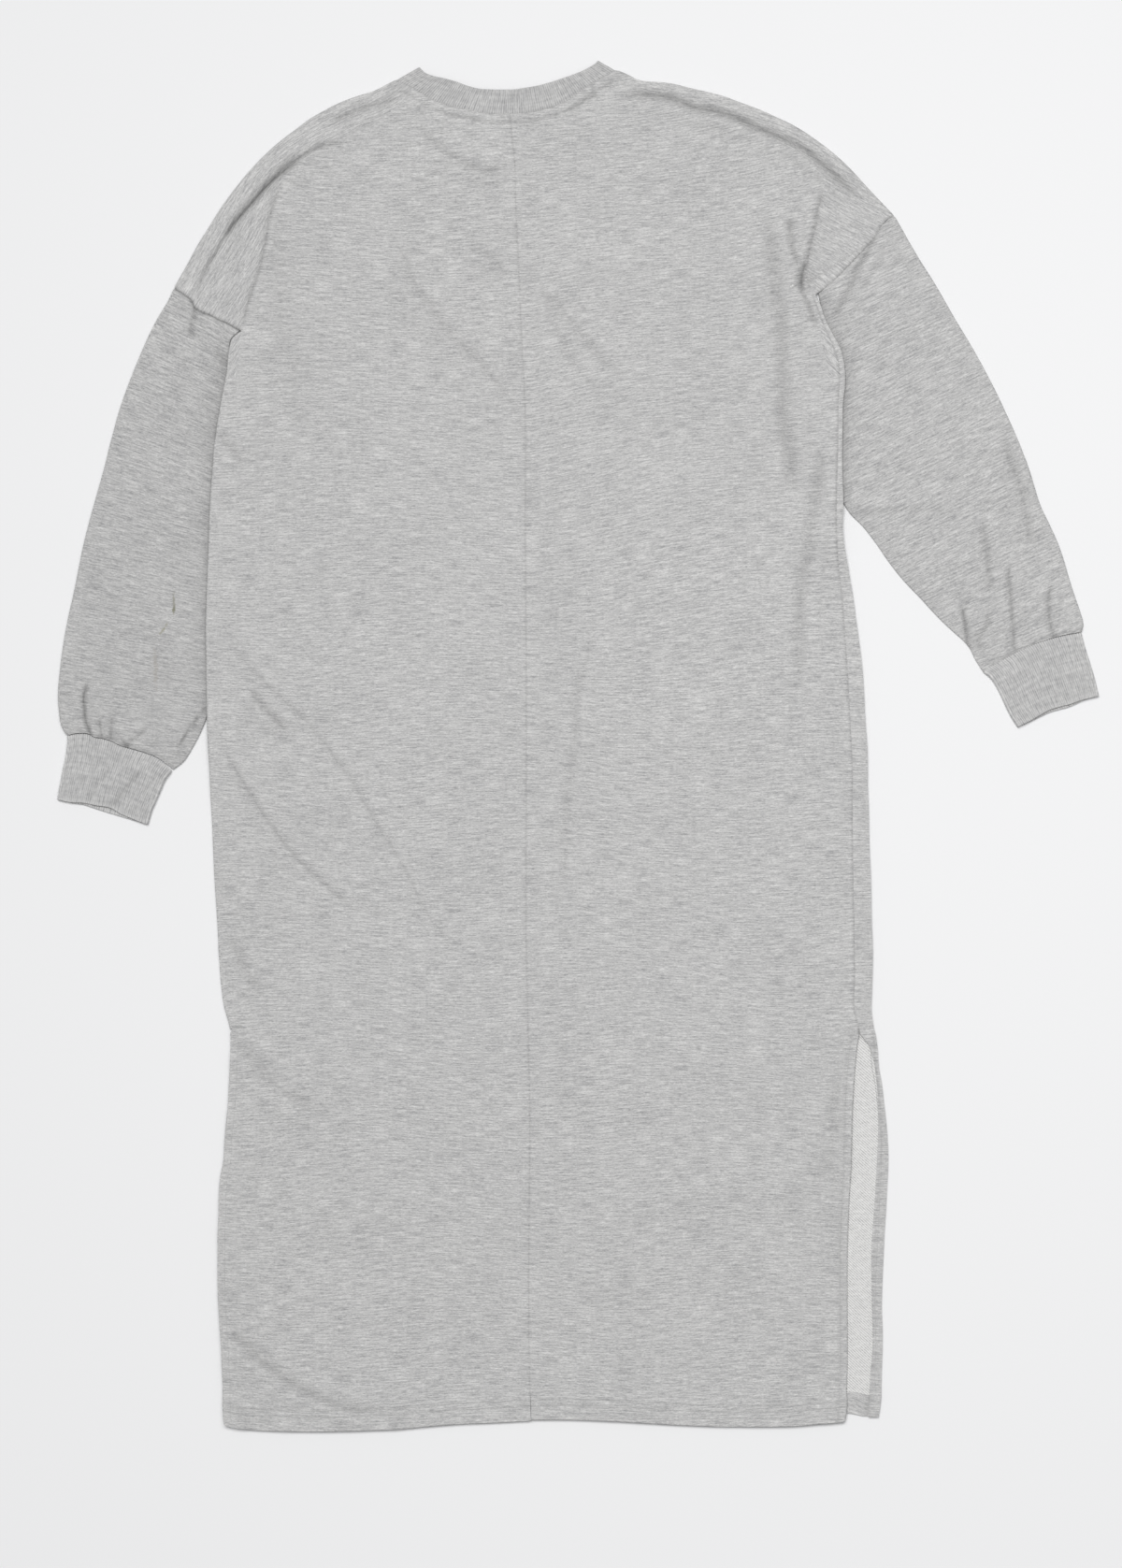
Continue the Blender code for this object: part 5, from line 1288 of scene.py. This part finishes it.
def make_sleeve(side):
    table = SLEEVES[side]
    left = side == "left"
    length = measured_along(np.array(table["outer"]))[-1]
    middle_rows = steps_between(FINE[-1] / length, 1 - 16 / length, SLEEVE_STEP / length)
    fractions = np.concatenate([FINE[:-1] / length, middle_rows, 1 - CUFF_END_ROWS / length])
    across = steps_between(0, 1, SLEEVE_STEP / 100)
    line = ARMHOLES[side]
    under_out, shoulder_out = armhole_ends(side)
    outer = path(table["outer"], fractions)
    inner = path(table["inner"], fractions)
    outer_out = beside(outer, towards_left=not left)
    inner_out = beside(inner, towards_left=left)
    outer_out = eased(outer_out, shoulder_out, fractions * length, 14)
    inner_out = eased(inner_out, -under_out, fractions * length, 14)
    outer = outer - outer_out * ROLL
    inner = inner - inner_out * TUCK_ROLL
    start = line[0] + under_out * (UNDERARM_GAP + TUCK_ROLL)
    inner += (start - inner[0]) * fade(fractions * length / 16)[:, None]
    seam = between(line[::-1], across, outer[0], inner[0])
    cuff = between(table["seam"], across, outer[-1], inner[-1])
    plan = patch(outer, inner, seam, cuff, fractions, across, lambda t: (1 - t) ** 2,
                 lambda t: t**2)
    plan[0] += beside(plan[0], towards_left=not left) * SEAM_DRAW
    plan[-1] += beside(plan[-1], towards_left=left) * SEAM_DRAW
    plan = drawn_in(plan, SLEEVE_CREASES[side])
    top = lifted(plan, lambda x, y: sleeve_level(side, x, y))
    pressed = fade(nearest_on(inner, plan[..., 0], plan[..., 1])[0] / 11)
    top[..., 2] = top[..., 2] * (1 - pressed) + TUCK_LEVEL * pressed
    under = SLEEVE_UNDER_CREASES[side]
    bottom = lifted(plan, lambda x, y: FLOOR_LEVEL + creased(under, x, y).clip(0))
    cloth = Cloth(CLOTH)
    grain = sleeve_grain(side, plan[..., 0], plan[..., 1])
    tube(cloth, top, bottom, outer_out, inner_out, grain, flip=left)
    return cloth


def rib_rows(length, step):
    """Distances along a rib from its seam to its folded edge, and how full it is at each."""
    inner = np.concatenate([[0, 0.5, 1.1, 2.0, 3.4], steps_between(5.4, length - 2.2, step)])
    rows = np.concatenate([inner, [length - 1.1], length - RIB_END_ROWS[::-1]])
    half = RIB / 2
    gone = np.clip((half - (length - rows)) / half, 0, 1)
    return rows / length, np.sqrt(np.clip(1 - gone**2, 0.02, 1))


def rib_columns(width):
    """Places across the ribs, the relief at each, and the ribs' number."""
    ribs = int(round(width / RIB_PITCH))
    phase = np.linspace(0, ribs, 6 * ribs + 1)
    return phase / ribs, np.cos(2 * np.pi * phase), ribs


def rib_tube(top, bottom, first_out, last_out, gap, across, columns, flip):
    """A flattened ring of rib: gap is each row's distance from the seam."""
    relief, ribs, full = columns
    grain = np.stack(np.broadcast_arrays(across[None, :] * ribs * RIB_PITCH, gap), axis=-1)
    cloth = Cloth(RIB)
    halves = (RIB / 2 + RIB_RELIEF * relief[None, :]) * full[:, None]
    tube(cloth, top, bottom, first_out, last_out, grain, flip, halves)
    return cloth


def make_cuff(side):
    table = SLEEVES[side]
    left = side == "left"
    width = measured_along(np.array(table["seam"]))[-1]
    length = measured_along(np.array(table["cuff_outer"]))[-1]
    across, relief, ribs = rib_columns(width)
    fractions, full = rib_rows(length, 4.5)
    outer = path(table["cuff_outer"], fractions)
    inner = path(table["cuff_inner"], fractions)
    outer_out = beside(outer, towards_left=not left)
    inner_out = beside(inner, towards_left=left)
    outer = outer - outer_out * RIB_ROLL
    inner = inner - inner_out * RIB_ROLL
    low = between(table["seam"], across, outer[0], inner[0])

    def layer(end_name):
        end = between(table[end_name], across, outer[-1], inner[-1])
        plan = patch(outer, inner, low, end, fractions, across, lambda t: 1 - t, lambda t: t)
        plan[0] += beside(plan[0], towards_left=not left) * SEAM_DRAW
        return plan

    gap = (fractions * length)[:, None]
    fold_start, fold_slant, fold_depth = CUFF_FOLDS[side]
    slant = (across * width)[None, :] - fold_start - fold_slant * gap
    dip = (1 - fade(gap / 12)) * (0.5 + 0.5 * fade((gap - 50) / 12))
    fold = fold_depth * dip * (bell(slant, 3.2) - 0.6 * bell(np.abs(slant) - 7, 4.5))
    puff = 0.35 * np.sin(np.pi * across)[None, :] * bell(gap - 26, 20) - fold
    top = lifted(layer("end"), lambda x, y: RIB_UPPER + 0.7 * undulation(x + 40, y) + puff
                 - 0.8 * np.exp(-gap / 1.3))
    bottom = lifted(layer("under_end"), RIB_LOWER)
    return rib_tube(top, bottom, outer_out, inner_out, gap, across, (relief, ribs, full), left)


def make_neck_rib():
    """The band's back half lies on top, from left to right; its front half on the floor."""
    outs = {side: unit(NECK_OUTWARD[side]) for side in SIDES}
    across, relief, ribs = rib_columns(measured_along(BACK_NECK)[-1])
    fractions, full = rib_rows(BAND_HEIGHT, 3.2)
    rows = fractions[:, None, None]

    def both(table, ends):
        line = np.concatenate([even_path(table["left"], 90)[::-1],
                               even_path(table["right"], 90)[1:]])
        left, right = (np.array(ends[side]) - outs[side] * RIB_ROLL for side in SIDES)
        return between(line, across, left, right)

    seam_ends = {side: SHOULDER[side][0] for side in SIDES}
    edge_ends = {side: BAND_EDGE[side][-1] for side in SIDES}

    def layer(seam, edge):
        plan = (1 - rows) * both(seam, seam_ends) + rows * both(edge, edge_ends)
        plan[0] += beside(plan[0], towards_left=True) * SEAM_DRAW
        return plan

    gap = (fractions * BAND_HEIGHT)[:, None]
    top = lifted(layer(NECK_SEAM, BAND_EDGE), lambda x, y: RIB_UPPER + 0.5 * undulation(x, y)
                 - 0.75 * np.exp(-gap / 1.3))
    bottom = lifted(layer(FRONT_NECK_SEAM, FRONT_BAND_EDGE), RIB_LOWER)
    first, last = (np.repeat(outs[side][None], len(fractions), 0) for side in SIDES)
    return rib_tube(top, bottom, first, last, gap, across, (relief, ribs, full), False)

# ---- materials ----------------------------------------------------------------------------------


class Shade:
    """A material's node tree, with short names for the nodes that are used here."""

    def __init__(self, name, roughness, sheen):
        self.material = bpy.data.materials.new(name)
        self.material.use_nodes = True
        self.tree = self.material.node_tree
        self.shader = self.tree.nodes["Principled BSDF"]
        self.shader.inputs["Roughness"].default_value = roughness
        self.shader.inputs["Specular IOR Level"].default_value = 0.25
        self.shader.inputs["Sheen Weight"].default_value = sheen
        self.shader.inputs["Sheen Roughness"].default_value = 0.45
        uv = self.tree.nodes.new("ShaderNodeUVMap")
        uv.uv_map = "cloth"
        self.place = uv.outputs["UV"]

    def link(self, source, target):
        self.tree.links.new(source, target)

    def math(self, kind, a, b=0.0, clamp=False):
        node = self.tree.nodes.new("ShaderNodeMath")
        node.operation = kind
        node.use_clamp = clamp
        for socket, value in zip(node.inputs, (a, b)):
            if isinstance(value, (int, float)):
                socket.default_value = value
            else:
                self.link(value, socket)
        return node.outputs[0]

    def vector(self, kind, a, b=None):
        node = self.tree.nodes.new("ShaderNodeVectorMath")
        node.operation = kind
        self.link(a, node.inputs[0])
        if b is not None:
            node.inputs[1].default_value = b
        return node.outputs["Value"] if kind == "LENGTH" else node.outputs["Vector"]

    def turned(self, angle):
        """The place on the cloth, turned by this angle."""
        mapping = self.tree.nodes.new("ShaderNodeMapping")
        mapping.inputs["Rotation"].default_value = (0, 0, angle)
        self.link(self.place, mapping.inputs["Vector"])
        return mapping.outputs["Vector"]

    def noise(self, size, detail=1.0, shift=0.0, turn=0.0):
        """Noise whose spots measure size in metres, across and along."""
        mapping = self.tree.nodes.new("ShaderNodeMapping")
        mapping.inputs["Location"].default_value = (shift, 2 * shift, 0)
        mapping.inputs["Scale"].default_value = (1 / size[0], 1 / size[1], 1)
        self.link(self.turned(turn) if turn else self.place, mapping.inputs["Vector"])
        node = self.tree.nodes.new("ShaderNodeTexNoise")
        node.noise_dimensions = "2D"
        node.inputs["Scale"].default_value = 1.0
        node.inputs["Detail"].default_value = detail
        node.inputs["Roughness"].default_value = 0.55
        self.link(mapping.outputs["Vector"], node.inputs["Vector"])
        return self.math("SUBTRACT", node.outputs[0], 0.5)

    def total(self, *parts):
        """Sum of (weight, value) pairs."""
        result = self.math("MULTIPLY", parts[0][1], parts[0][0])
        for weight, value in parts[1:]:
            result = self.math("ADD", result, self.math("MULTIPLY", value, weight))
        return result

    def colours(self, value, stops):
        """Colour from a value: stops are (position, colour) pairs."""
        ramp = self.tree.nodes.new("ShaderNodeValToRGB")
        points = ramp.color_ramp.elements
        while len(points) < len(stops):
            points.new(0.5)
        for point, (position, colour) in zip(points, stops):
            point.position = position
            point.color = (*colour, 1)
        self.link(value, ramp.inputs["Fac"])
        return ramp.outputs["Color"]

    def mix(self, share, first, colour):
        node = self.tree.nodes.new("ShaderNodeMix")
        node.data_type = "RGBA"
        self.link(share, node.inputs["Factor"])
        self.link(first, node.inputs["A"])
        node.inputs["B"].default_value = (*colour, 1)
        return node.outputs["Result"]

    def less(self, colour, name):
        """The colour, darkened by the mesh's values of this name."""
        values = self.tree.nodes.new("ShaderNodeAttribute")
        values.attribute_name = name
        return self.mix(values.outputs["Fac"], colour, (0.0, 0.0, 0.0))

    def finish(self, colour, height, depth):
        self.link(colour, self.shader.inputs["Base Color"])
        bump = self.tree.nodes.new("ShaderNodeBump")
        bump.inputs["Strength"].default_value = 1.0
        bump.inputs["Distance"].default_value = depth
        self.link(height, bump.inputs["Height"])
        self.link(bump.outputs["Normal"], self.shader.inputs["Normal"])
        return self.material


LOOP_SLANT = np.radians(-48)
REVERSE_YARNS = ((0.49, 0.485, 0.485), (0.715, 0.711, 0.697), (0.88, 0.875, 0.865))
DARK_YARN = (0.303, 0.303, 0.308)
MIDDLE_YARN = (0.497, 0.494, 0.490)
LIGHT_YARN = (0.707, 0.702, 0.693)


def wave(shade, pitch, angle):
    """A sine from -1 to 1 across the cloth at this angle from the grain."""
    parts = shade.tree.nodes.new("ShaderNodeSeparateXYZ")
    shade.link(shade.turned(angle), parts.inputs[0])
    return shade.math("SINE", shade.math("MULTIPLY", parts.outputs[0], 2 * np.pi / pitch))


def yarn_stops(share):
    """The face's yarns from dark to light, made lighter by what this share of painted shade takes,
    so that the plain cloth keeps the yarns' colours and the painted light on edges comes out
    lighter.
    """
    yarns = [[part / (1 - share) for part in yarn] for yarn in (DARK_YARN, MIDDLE_YARN, LIGHT_YARN)]
    return tuple(zip((0.0, 0.5, 1.0), yarns))


def stain_share(shade, centre, half_size, angle, strength):
    """How much of a stain shows: full in an oval round its centre, on the upper layer only."""
    coordinates = shade.tree.nodes.new("ShaderNodeTexCoord")
    moved = shade.vector("SUBTRACT", coordinates.outputs["Object"], (*centre, 0))
    turned = shade.tree.nodes.new("ShaderNodeVectorRotate")
    turned.rotation_type = "Z_AXIS"
    turned.inputs["Angle"].default_value = -angle
    shade.link(moved, turned.inputs["Vector"])
    scaled = shade.vector("MULTIPLY", turned.outputs[0], (1 / half_size[0], 1 / half_size[1], 0))
    spread_out = shade.math("ADD", shade.vector("LENGTH", scaled),
                            shade.math("MULTIPLY", shade.noise((0.004, 0.003), 2.0, 5.0), 1.6))
    fading = shade.tree.nodes.new("ShaderNodeMapRange")
    fading.interpolation_type = "SMOOTHSTEP"
    fading.inputs["From Min"].default_value = 0.25
    fading.inputs["From Max"].default_value = 1.15
    fading.inputs["To Min"].default_value = strength
    fading.inputs["To Max"].default_value = 0.0
    shade.link(spread_out, fading.inputs["Value"])
    height = shade.tree.nodes.new("ShaderNodeSeparateXYZ")
    shade.link(coordinates.outputs["Object"], height.inputs[0])
    above = shade.math("GREATER_THAN", height.outputs[2], STAIN_FLOOR)
    return shade.math("MULTIPLY", fading.outputs[0], above)


STAIN_FLOOR = 0.0016        # metres: no stain on the layer below
STAINS = (
    # centre and half size in metres, angle, strength, colour
    ((-0.3596, 0.1292), (0.0015, 0.0115), 0.0, 0.55, (0.27, 0.265, 0.20)),
    ((-0.3594, 0.1246), (0.0018, 0.0036), 0.0, 0.62, (0.20, 0.20, 0.13)),
    ((-0.3691, 0.1058), (0.0064, 0.0016), 0.92, 0.62, (0.31, 0.30, 0.20)),
    ((-0.3760, 0.0705), (0.0026, 0.0210), 0.03, 0.3, (0.36, 0.32, 0.27)),
)


def marl_material(name, stains=()):
    """Melange jersey, face side: long streaks of dark and light yarn over fine stitches."""
    shade = Shade(name, 0.92, 0.12)
    long_streaks = shade.noise((0.0168, 0.00122), 2.0, 0.0)
    short_streaks = shade.noise((0.0041, 0.00075), 2.0, 3.1)
    cloud = shade.noise((0.0380, 0.00900), 1.0, 7.7)
    patches = shade.noise((0.0700, 0.05000), 1.0, 1.9)
    flecks = shade.noise((0.0016, 0.00070), 1.0, 9.3)
    tone = shade.total((1.12, long_streaks), (0.97, short_streaks), (0.17, cloud), (0.12, patches),
                       (0.6, flecks))
    value = shade.math("ADD", tone, 0.5, clamp=True)
    colour = shade.colours(value, yarn_stops(EDGE_PAINTED_LIGHT))
    for centre, half_size, angle, strength, tint in stains:
        colour = shade.mix(stain_share(shade, centre, half_size, angle, strength), colour, tint)
    # painted shade and painted edge light, from the mesh's values
    colour = shade.less(colour, "painted_shade")
    wales = wave(shade, 0.00105, 0.0)
    courses = wave(shade, 0.00080, np.pi / 2)
    height = shade.total((0.5, long_streaks), (0.5, short_streaks), (0.8, flecks), (0.10, wales),
                         (0.05, courses))
    return shade.finish(colour, height, 0.00022)


def reverse_material(name):
    """The jersey's loop-back reverse: rows of short slanting loops, a little lighter."""
    shade = Shade(name, 0.95, 0.15)
    twill = wave(shade, 0.00188, LOOP_SLANT)
    loops = shade.noise((0.0012, 0.00200), 1.0, 4.0, turn=LOOP_SLANT)
    streaks = shade.noise((0.0120, 0.00200), 2.0, 2.0)
    tone = shade.total((0.31, twill), (0.6, loops), (0.5, streaks))
    value = shade.math("ADD", tone, 0.5, clamp=True)
    colour = shade.colours(value, tuple(zip((0.0, 0.5, 1.0), REVERSE_YARNS)))
    height = shade.total((0.5, twill), (1.0, loops))
    return shade.finish(colour, height, 0.00035)


def rib_material(name):
    """1x1 rib: colour painted lighter on the ribs and darker between them as painted shade, in step
    with the relief; marled along their length.
    """
    shade = Shade(name, 0.92, 0.12)
    parts = shade.tree.nodes.new("ShaderNodeSeparateXYZ")
    shade.link(shade.place, parts.inputs[0])
    turns = shade.math("MULTIPLY", parts.outputs[0], 2 * np.pi / (RIB_PITCH * MM))
    # painted shade: the colour darkens between the ribs, in step with their relief
    rib_painted_shade = shade.math("COSINE", turns)
    streaks = shade.noise((0.0021, 0.01100), 2.0, 2.0)
    flecks = shade.noise((0.0012, 0.00300), 2.0, 6.0)
    cross = shade.noise((0.0300, 0.00300), 1.0, 8.0)
    tone = shade.total((0.16, rib_painted_shade), (0.75, streaks), (0.55, flecks), (0.4, cross))
    value = shade.math("ADD", tone, 0.445, clamp=True)
    colour = shade.colours(value, yarn_stops(CUFF_EDGE_PAINTED_LIGHT))
    # painted shade and painted edge light, from the mesh's values
    colour = shade.less(colour, "painted_shade")
    height = shade.total((1.0, streaks), (1.0, flecks))
    return shade.finish(colour, height, 0.0002)


def thread_material(name):
    shade = Shade(name, 0.8, 0.05)
    coordinates = shade.tree.nodes.new("ShaderNodeTexCoord")
    shade.place = coordinates.outputs["Object"]
    twist = shade.noise((0.0006, 0.0004), 1.0)
    value = shade.math("ADD", twist, 0.5, clamp=True)
    colour = shade.colours(value, ((0.0, (0.40, 0.40, 0.40)), (1.0, (0.62, 0.62, 0.61))))
    return shade.finish(colour, twist, 0.0001)

# ---- pieces -------------------------------------------------------------------------------------


def make_piece(name, cloth, materials):
    points, faces, places, slots = cloth.walls()
    mesh = bpy.data.meshes.new(name)
    mesh.vertices.add(len(points))
    mesh.vertices.foreach_set("co", (points * MM).astype(np.float32).reshape(-1))
    mesh.loops.add(faces.size)
    mesh.loops.foreach_set("vertex_index", faces.astype(np.int32).reshape(-1))
    mesh.polygons.add(len(faces))
    mesh.polygons.foreach_set("loop_start", np.arange(0, faces.size, 4, dtype=np.int32))
    mesh.polygons.foreach_set("material_index", slots.astype(np.int32))
    layer = mesh.uv_layers.new(name="cloth")
    layer.data.foreach_set("uv", (places * MM).astype(np.float32).reshape(-1))
    # how much darker the materials paint each point: painted shade, and painted light on edges
    lost = mesh.attributes.new("painted_shade", "FLOAT", "POINT")
    lost.data.foreach_set("value", painted_shade(name, points).astype(np.float32))
    mesh.update(calc_edges=True)
    mesh.validate()
    mesh.shade_smooth()
    mesh.set_sharp_from_angle(angle=np.radians(65))
    for material in materials:
        mesh.materials.append(material)
    piece = bpy.data.objects.new(name, mesh)
    bpy.context.scene.collection.objects.link(piece)
    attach(piece, "root")
    return piece


STITCH = 2.5                    # its pitch
BARTACK_LENGTH = 12             # over the tack's length: each of its threads is one stitch
BARTACK_GAP = 0.5
THREAD_RADIUS = 0.2
STITCH_SHARE = (0.08, 0.92)     # where a stitch starts and ends, out of its pitch
STITCH_SIDES = 5
STITCH_RINGS = np.array([-0.5, -0.36, 0.0, 0.36, 0.5])
STITCH_FATNESS = np.array([0.35, 0.85, 1.0, 0.85, 0.35])
THREAD_RISE = 0.1               # its middle, above the cloth's face


def sew(name, rows, material):
    """Stitches along rows of (plan points, pitch, level of the cloth's face)."""
    centres = []
    for points, pitch, level in rows:
        points = np.asarray(points, float)
        count = max(1, int(measured_along(points)[-1] / pitch))
        ends = path(points, (np.arange(count)[:, None] + STITCH_SHARE).reshape(-1) / count)
        ends = ends.reshape(count, 2, 2)
        heights = level(ends[..., 0], ends[..., 1])
        centres.append(np.concatenate([ends, heights[..., None]], axis=2))
    ends = np.concatenate(centres)
    along = ends[:, 1] - ends[:, 0]
    middle = (ends[:, 0] + ends[:, 1]) / 2
    across = unit(np.stack([-along[:, 1], along[:, 0], np.zeros(len(along))], axis=1))
    up = unit(np.cross(along, across))
    angle = 2 * np.pi * np.arange(STITCH_SIDES) / STITCH_SIDES
    ring = np.cos(angle)[:, None, None] * across + np.sin(angle)[:, None, None] * up
    rings = STITCH_RINGS[:, None, None, None]
    fatness = STITCH_FATNESS[:, None, None, None]
    points = middle + rings * along + THREAD_RADIUS * fatness * ring
    points += (THREAD_RISE - 0.55 * THREAD_RADIUS * (1 - fatness)) * up
    points = points.transpose(2, 0, 1, 3)
    numbers = np.arange(points.size // 3).reshape(-1, len(STITCH_RINGS), STITCH_SIDES)
    nxt = np.roll(numbers, -1, axis=2)
    quads = np.stack([numbers[:, :-1], nxt[:, :-1], nxt[:, 1:], numbers[:, 1:]], axis=-1)
    faces = quads.reshape(-1, 4).tolist() + numbers[:, 0, ::-1].tolist() + numbers[:, -1].tolist()
    mesh = bpy.data.meshes.new(name)
    mesh.from_pydata((points.reshape(-1, 3) * MM).tolist(), [], faces)
    mesh.update()
    mesh.shade_smooth()
    mesh.materials.append(material)
    piece = bpy.data.objects.new(name, mesh)
    bpy.context.scene.collection.objects.link(piece)
    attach(piece, "root")
    return piece


def upper_face(x, y):
    return upper_level(x, y) + CLOTH / 2


def front_strip_face(x, y):
    return front_level(x, y) + 2 * HEM_RADIUS + CLOTH / 2


def hem_rows(first_x, last_x):
    x = np.linspace(first_x, last_x, 60)
    hem = np.interp(x, BACK_HEM[:, 0], BACK_HEM[:, 1])
    return [(np.stack([x, hem + above], axis=1), STITCH, upper_face) for above in HEM_STITCHES]


def slit_row(edge, inward, low, high, level):
    y = np.linspace(low, high, 80)
    return (np.stack([x_at(edge, y) + inward, y], axis=1), STITCH, level)


def bartack(first, last, threads):
    """Close parallel threads."""
    ends = np.array([first, last], float)
    run = ends[1] - ends[0]
    step = BARTACK_GAP * np.array([-run[1], run[0]]) / np.linalg.norm(run)
    return [(ends + step * k, BARTACK_LENGTH, upper_face) for k in range(threads)]


materials = {
    "face": marl_material("marled jersey"),
    "stained face": marl_material("marled jersey with stains", STAINS),
    "reverse": reverse_material("loop-back reverse"),
    "rib": rib_material("marled rib"),
    "thread": thread_material("sewing thread"),
}
jersey = (materials["face"], materials["reverse"])
stained = (materials["stained face"], materials["reverse"])
ribbing = (materials["rib"], materials["rib"])

front = make_piece("front_cloth", make_front(), jersey)
back_left = make_piece("back_left_cloth", make_back("left"), jersey)
back_right = make_piece("back_right_cloth", make_back("right"), jersey)
sleeve_left = make_piece("sleeve_left_cloth", make_sleeve("left"), stained)
sleeve_right = make_piece("sleeve_right_cloth", make_sleeve("right"), jersey)
cuff_left = make_piece("cuff_left_rib", make_cuff("left"), ribbing)
cuff_right = make_piece("cuff_right_rib", make_cuff("right"), ribbing)
neck_rib = make_piece("neck_band_rib", make_neck_rib(), ribbing)

left_rows = hem_rows(-313, -43)
left_rows.append(slit_row(EDGE["left"], 6.7, -603, -252, upper_face))
left_rows += bartack((-309, -249), (-297.5, -249), 5)
stitches_left = sew("stitches_back_left", left_rows, materials["thread"])
right_rows = hem_rows(-40, 237)
right_rows.append(slit_row(BACK_SLIT_EDGE, -6.7, -600, -256, upper_face))
right_rows += bartack((241.7, -251), (251.4, -246.5), 6)
stitches_right = sew("stitches_back_right", right_rows, materials["thread"])
front_rows = [slit_row(EDGE["right"], -6.9, -594, -262, front_strip_face)]
stitches_front = sew("stitches_front", front_rows, materials["thread"])

for piece, node in ((front, "front"), (back_left, "back_left"), (back_right, "back_right"),
                    (sleeve_left, "sleeve_left"), (sleeve_right, "sleeve_right"),
                    (cuff_left, "cuff_left"), (cuff_right, "cuff_right"),
                    (neck_rib, "neck_rib")):
    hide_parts(node)

# ---- floor, light and camera --------------------------------------------------------------------


def make_floor():
    mesh = bpy.data.meshes.new("floor")
    size = 6.0
    low = -0.0003
    mesh.from_pydata([(-size, -size, low), (size, -size, low), (size, size, low),
                      (-size, size, low)], [], [(0, 1, 2, 3)])
    material = bpy.data.materials.new("pale floor")
    material.use_nodes = True
    shader = material.node_tree.nodes["Principled BSDF"]
    shader.inputs["Base Color"].default_value = (0.845, 0.845, 0.850, 1)
    shader.inputs["Roughness"].default_value = 0.9
    shader.inputs["Specular IOR Level"].default_value = 0.2
    mesh.materials.append(material)
    floor = bpy.data.objects.new("floor", mesh)
    bpy.context.scene.collection.objects.link(floor)


def make_light(name, kind, place, aim, strength, **settings):
    data = bpy.data.lights.new(name, kind)
    data.energy = strength
    for key, value in settings.items():
        setattr(data, key, value)
    light = bpy.data.objects.new(name, data)
    light.location = place
    direction = Vector(aim) - Vector(place)
    light.rotation_euler = direction.to_track_quat("-Z", "Y").to_euler()
    bpy.context.scene.collection.objects.link(light)
    return light


VIEW_HEIGHT = 1.3975        # metres, from the photo's lower to its upper edge
VIEW_MIDDLE = (-0.01458, -0.03167)
MIDDLE_LEVEL = 0.004


def make_camera():
    data = bpy.data.cameras.new("camera")
    data.lens = 100
    data.sensor_width = 36
    height = VIEW_HEIGHT * data.lens / data.sensor_width + MIDDLE_LEVEL
    camera = bpy.data.objects.new("camera", data)
    camera.location = (*VIEW_MIDDLE, height)
    data.clip_end = 100
    bpy.context.scene.collection.objects.link(camera)
    bpy.context.scene.camera = camera


make_floor()
make_light("key", "SUN", (-0.20, 0.42, 1.0), (0, 0, 0), 1.82, angle=np.radians(32))
make_light("top fill", "AREA", (0.42, 0.42, 1.9), (0.26, 0.06, 0), 8.2, size=0.8)
world = bpy.data.worlds.new("studio")
world.use_nodes = True
world.node_tree.nodes["Background"].inputs["Color"].default_value = (0.99, 0.995, 1.0, 1)
world.node_tree.nodes["Background"].inputs["Strength"].default_value = 0.34
bpy.context.scene.world = world
bpy.context.scene.view_settings.view_transform = "Standard"
make_camera()
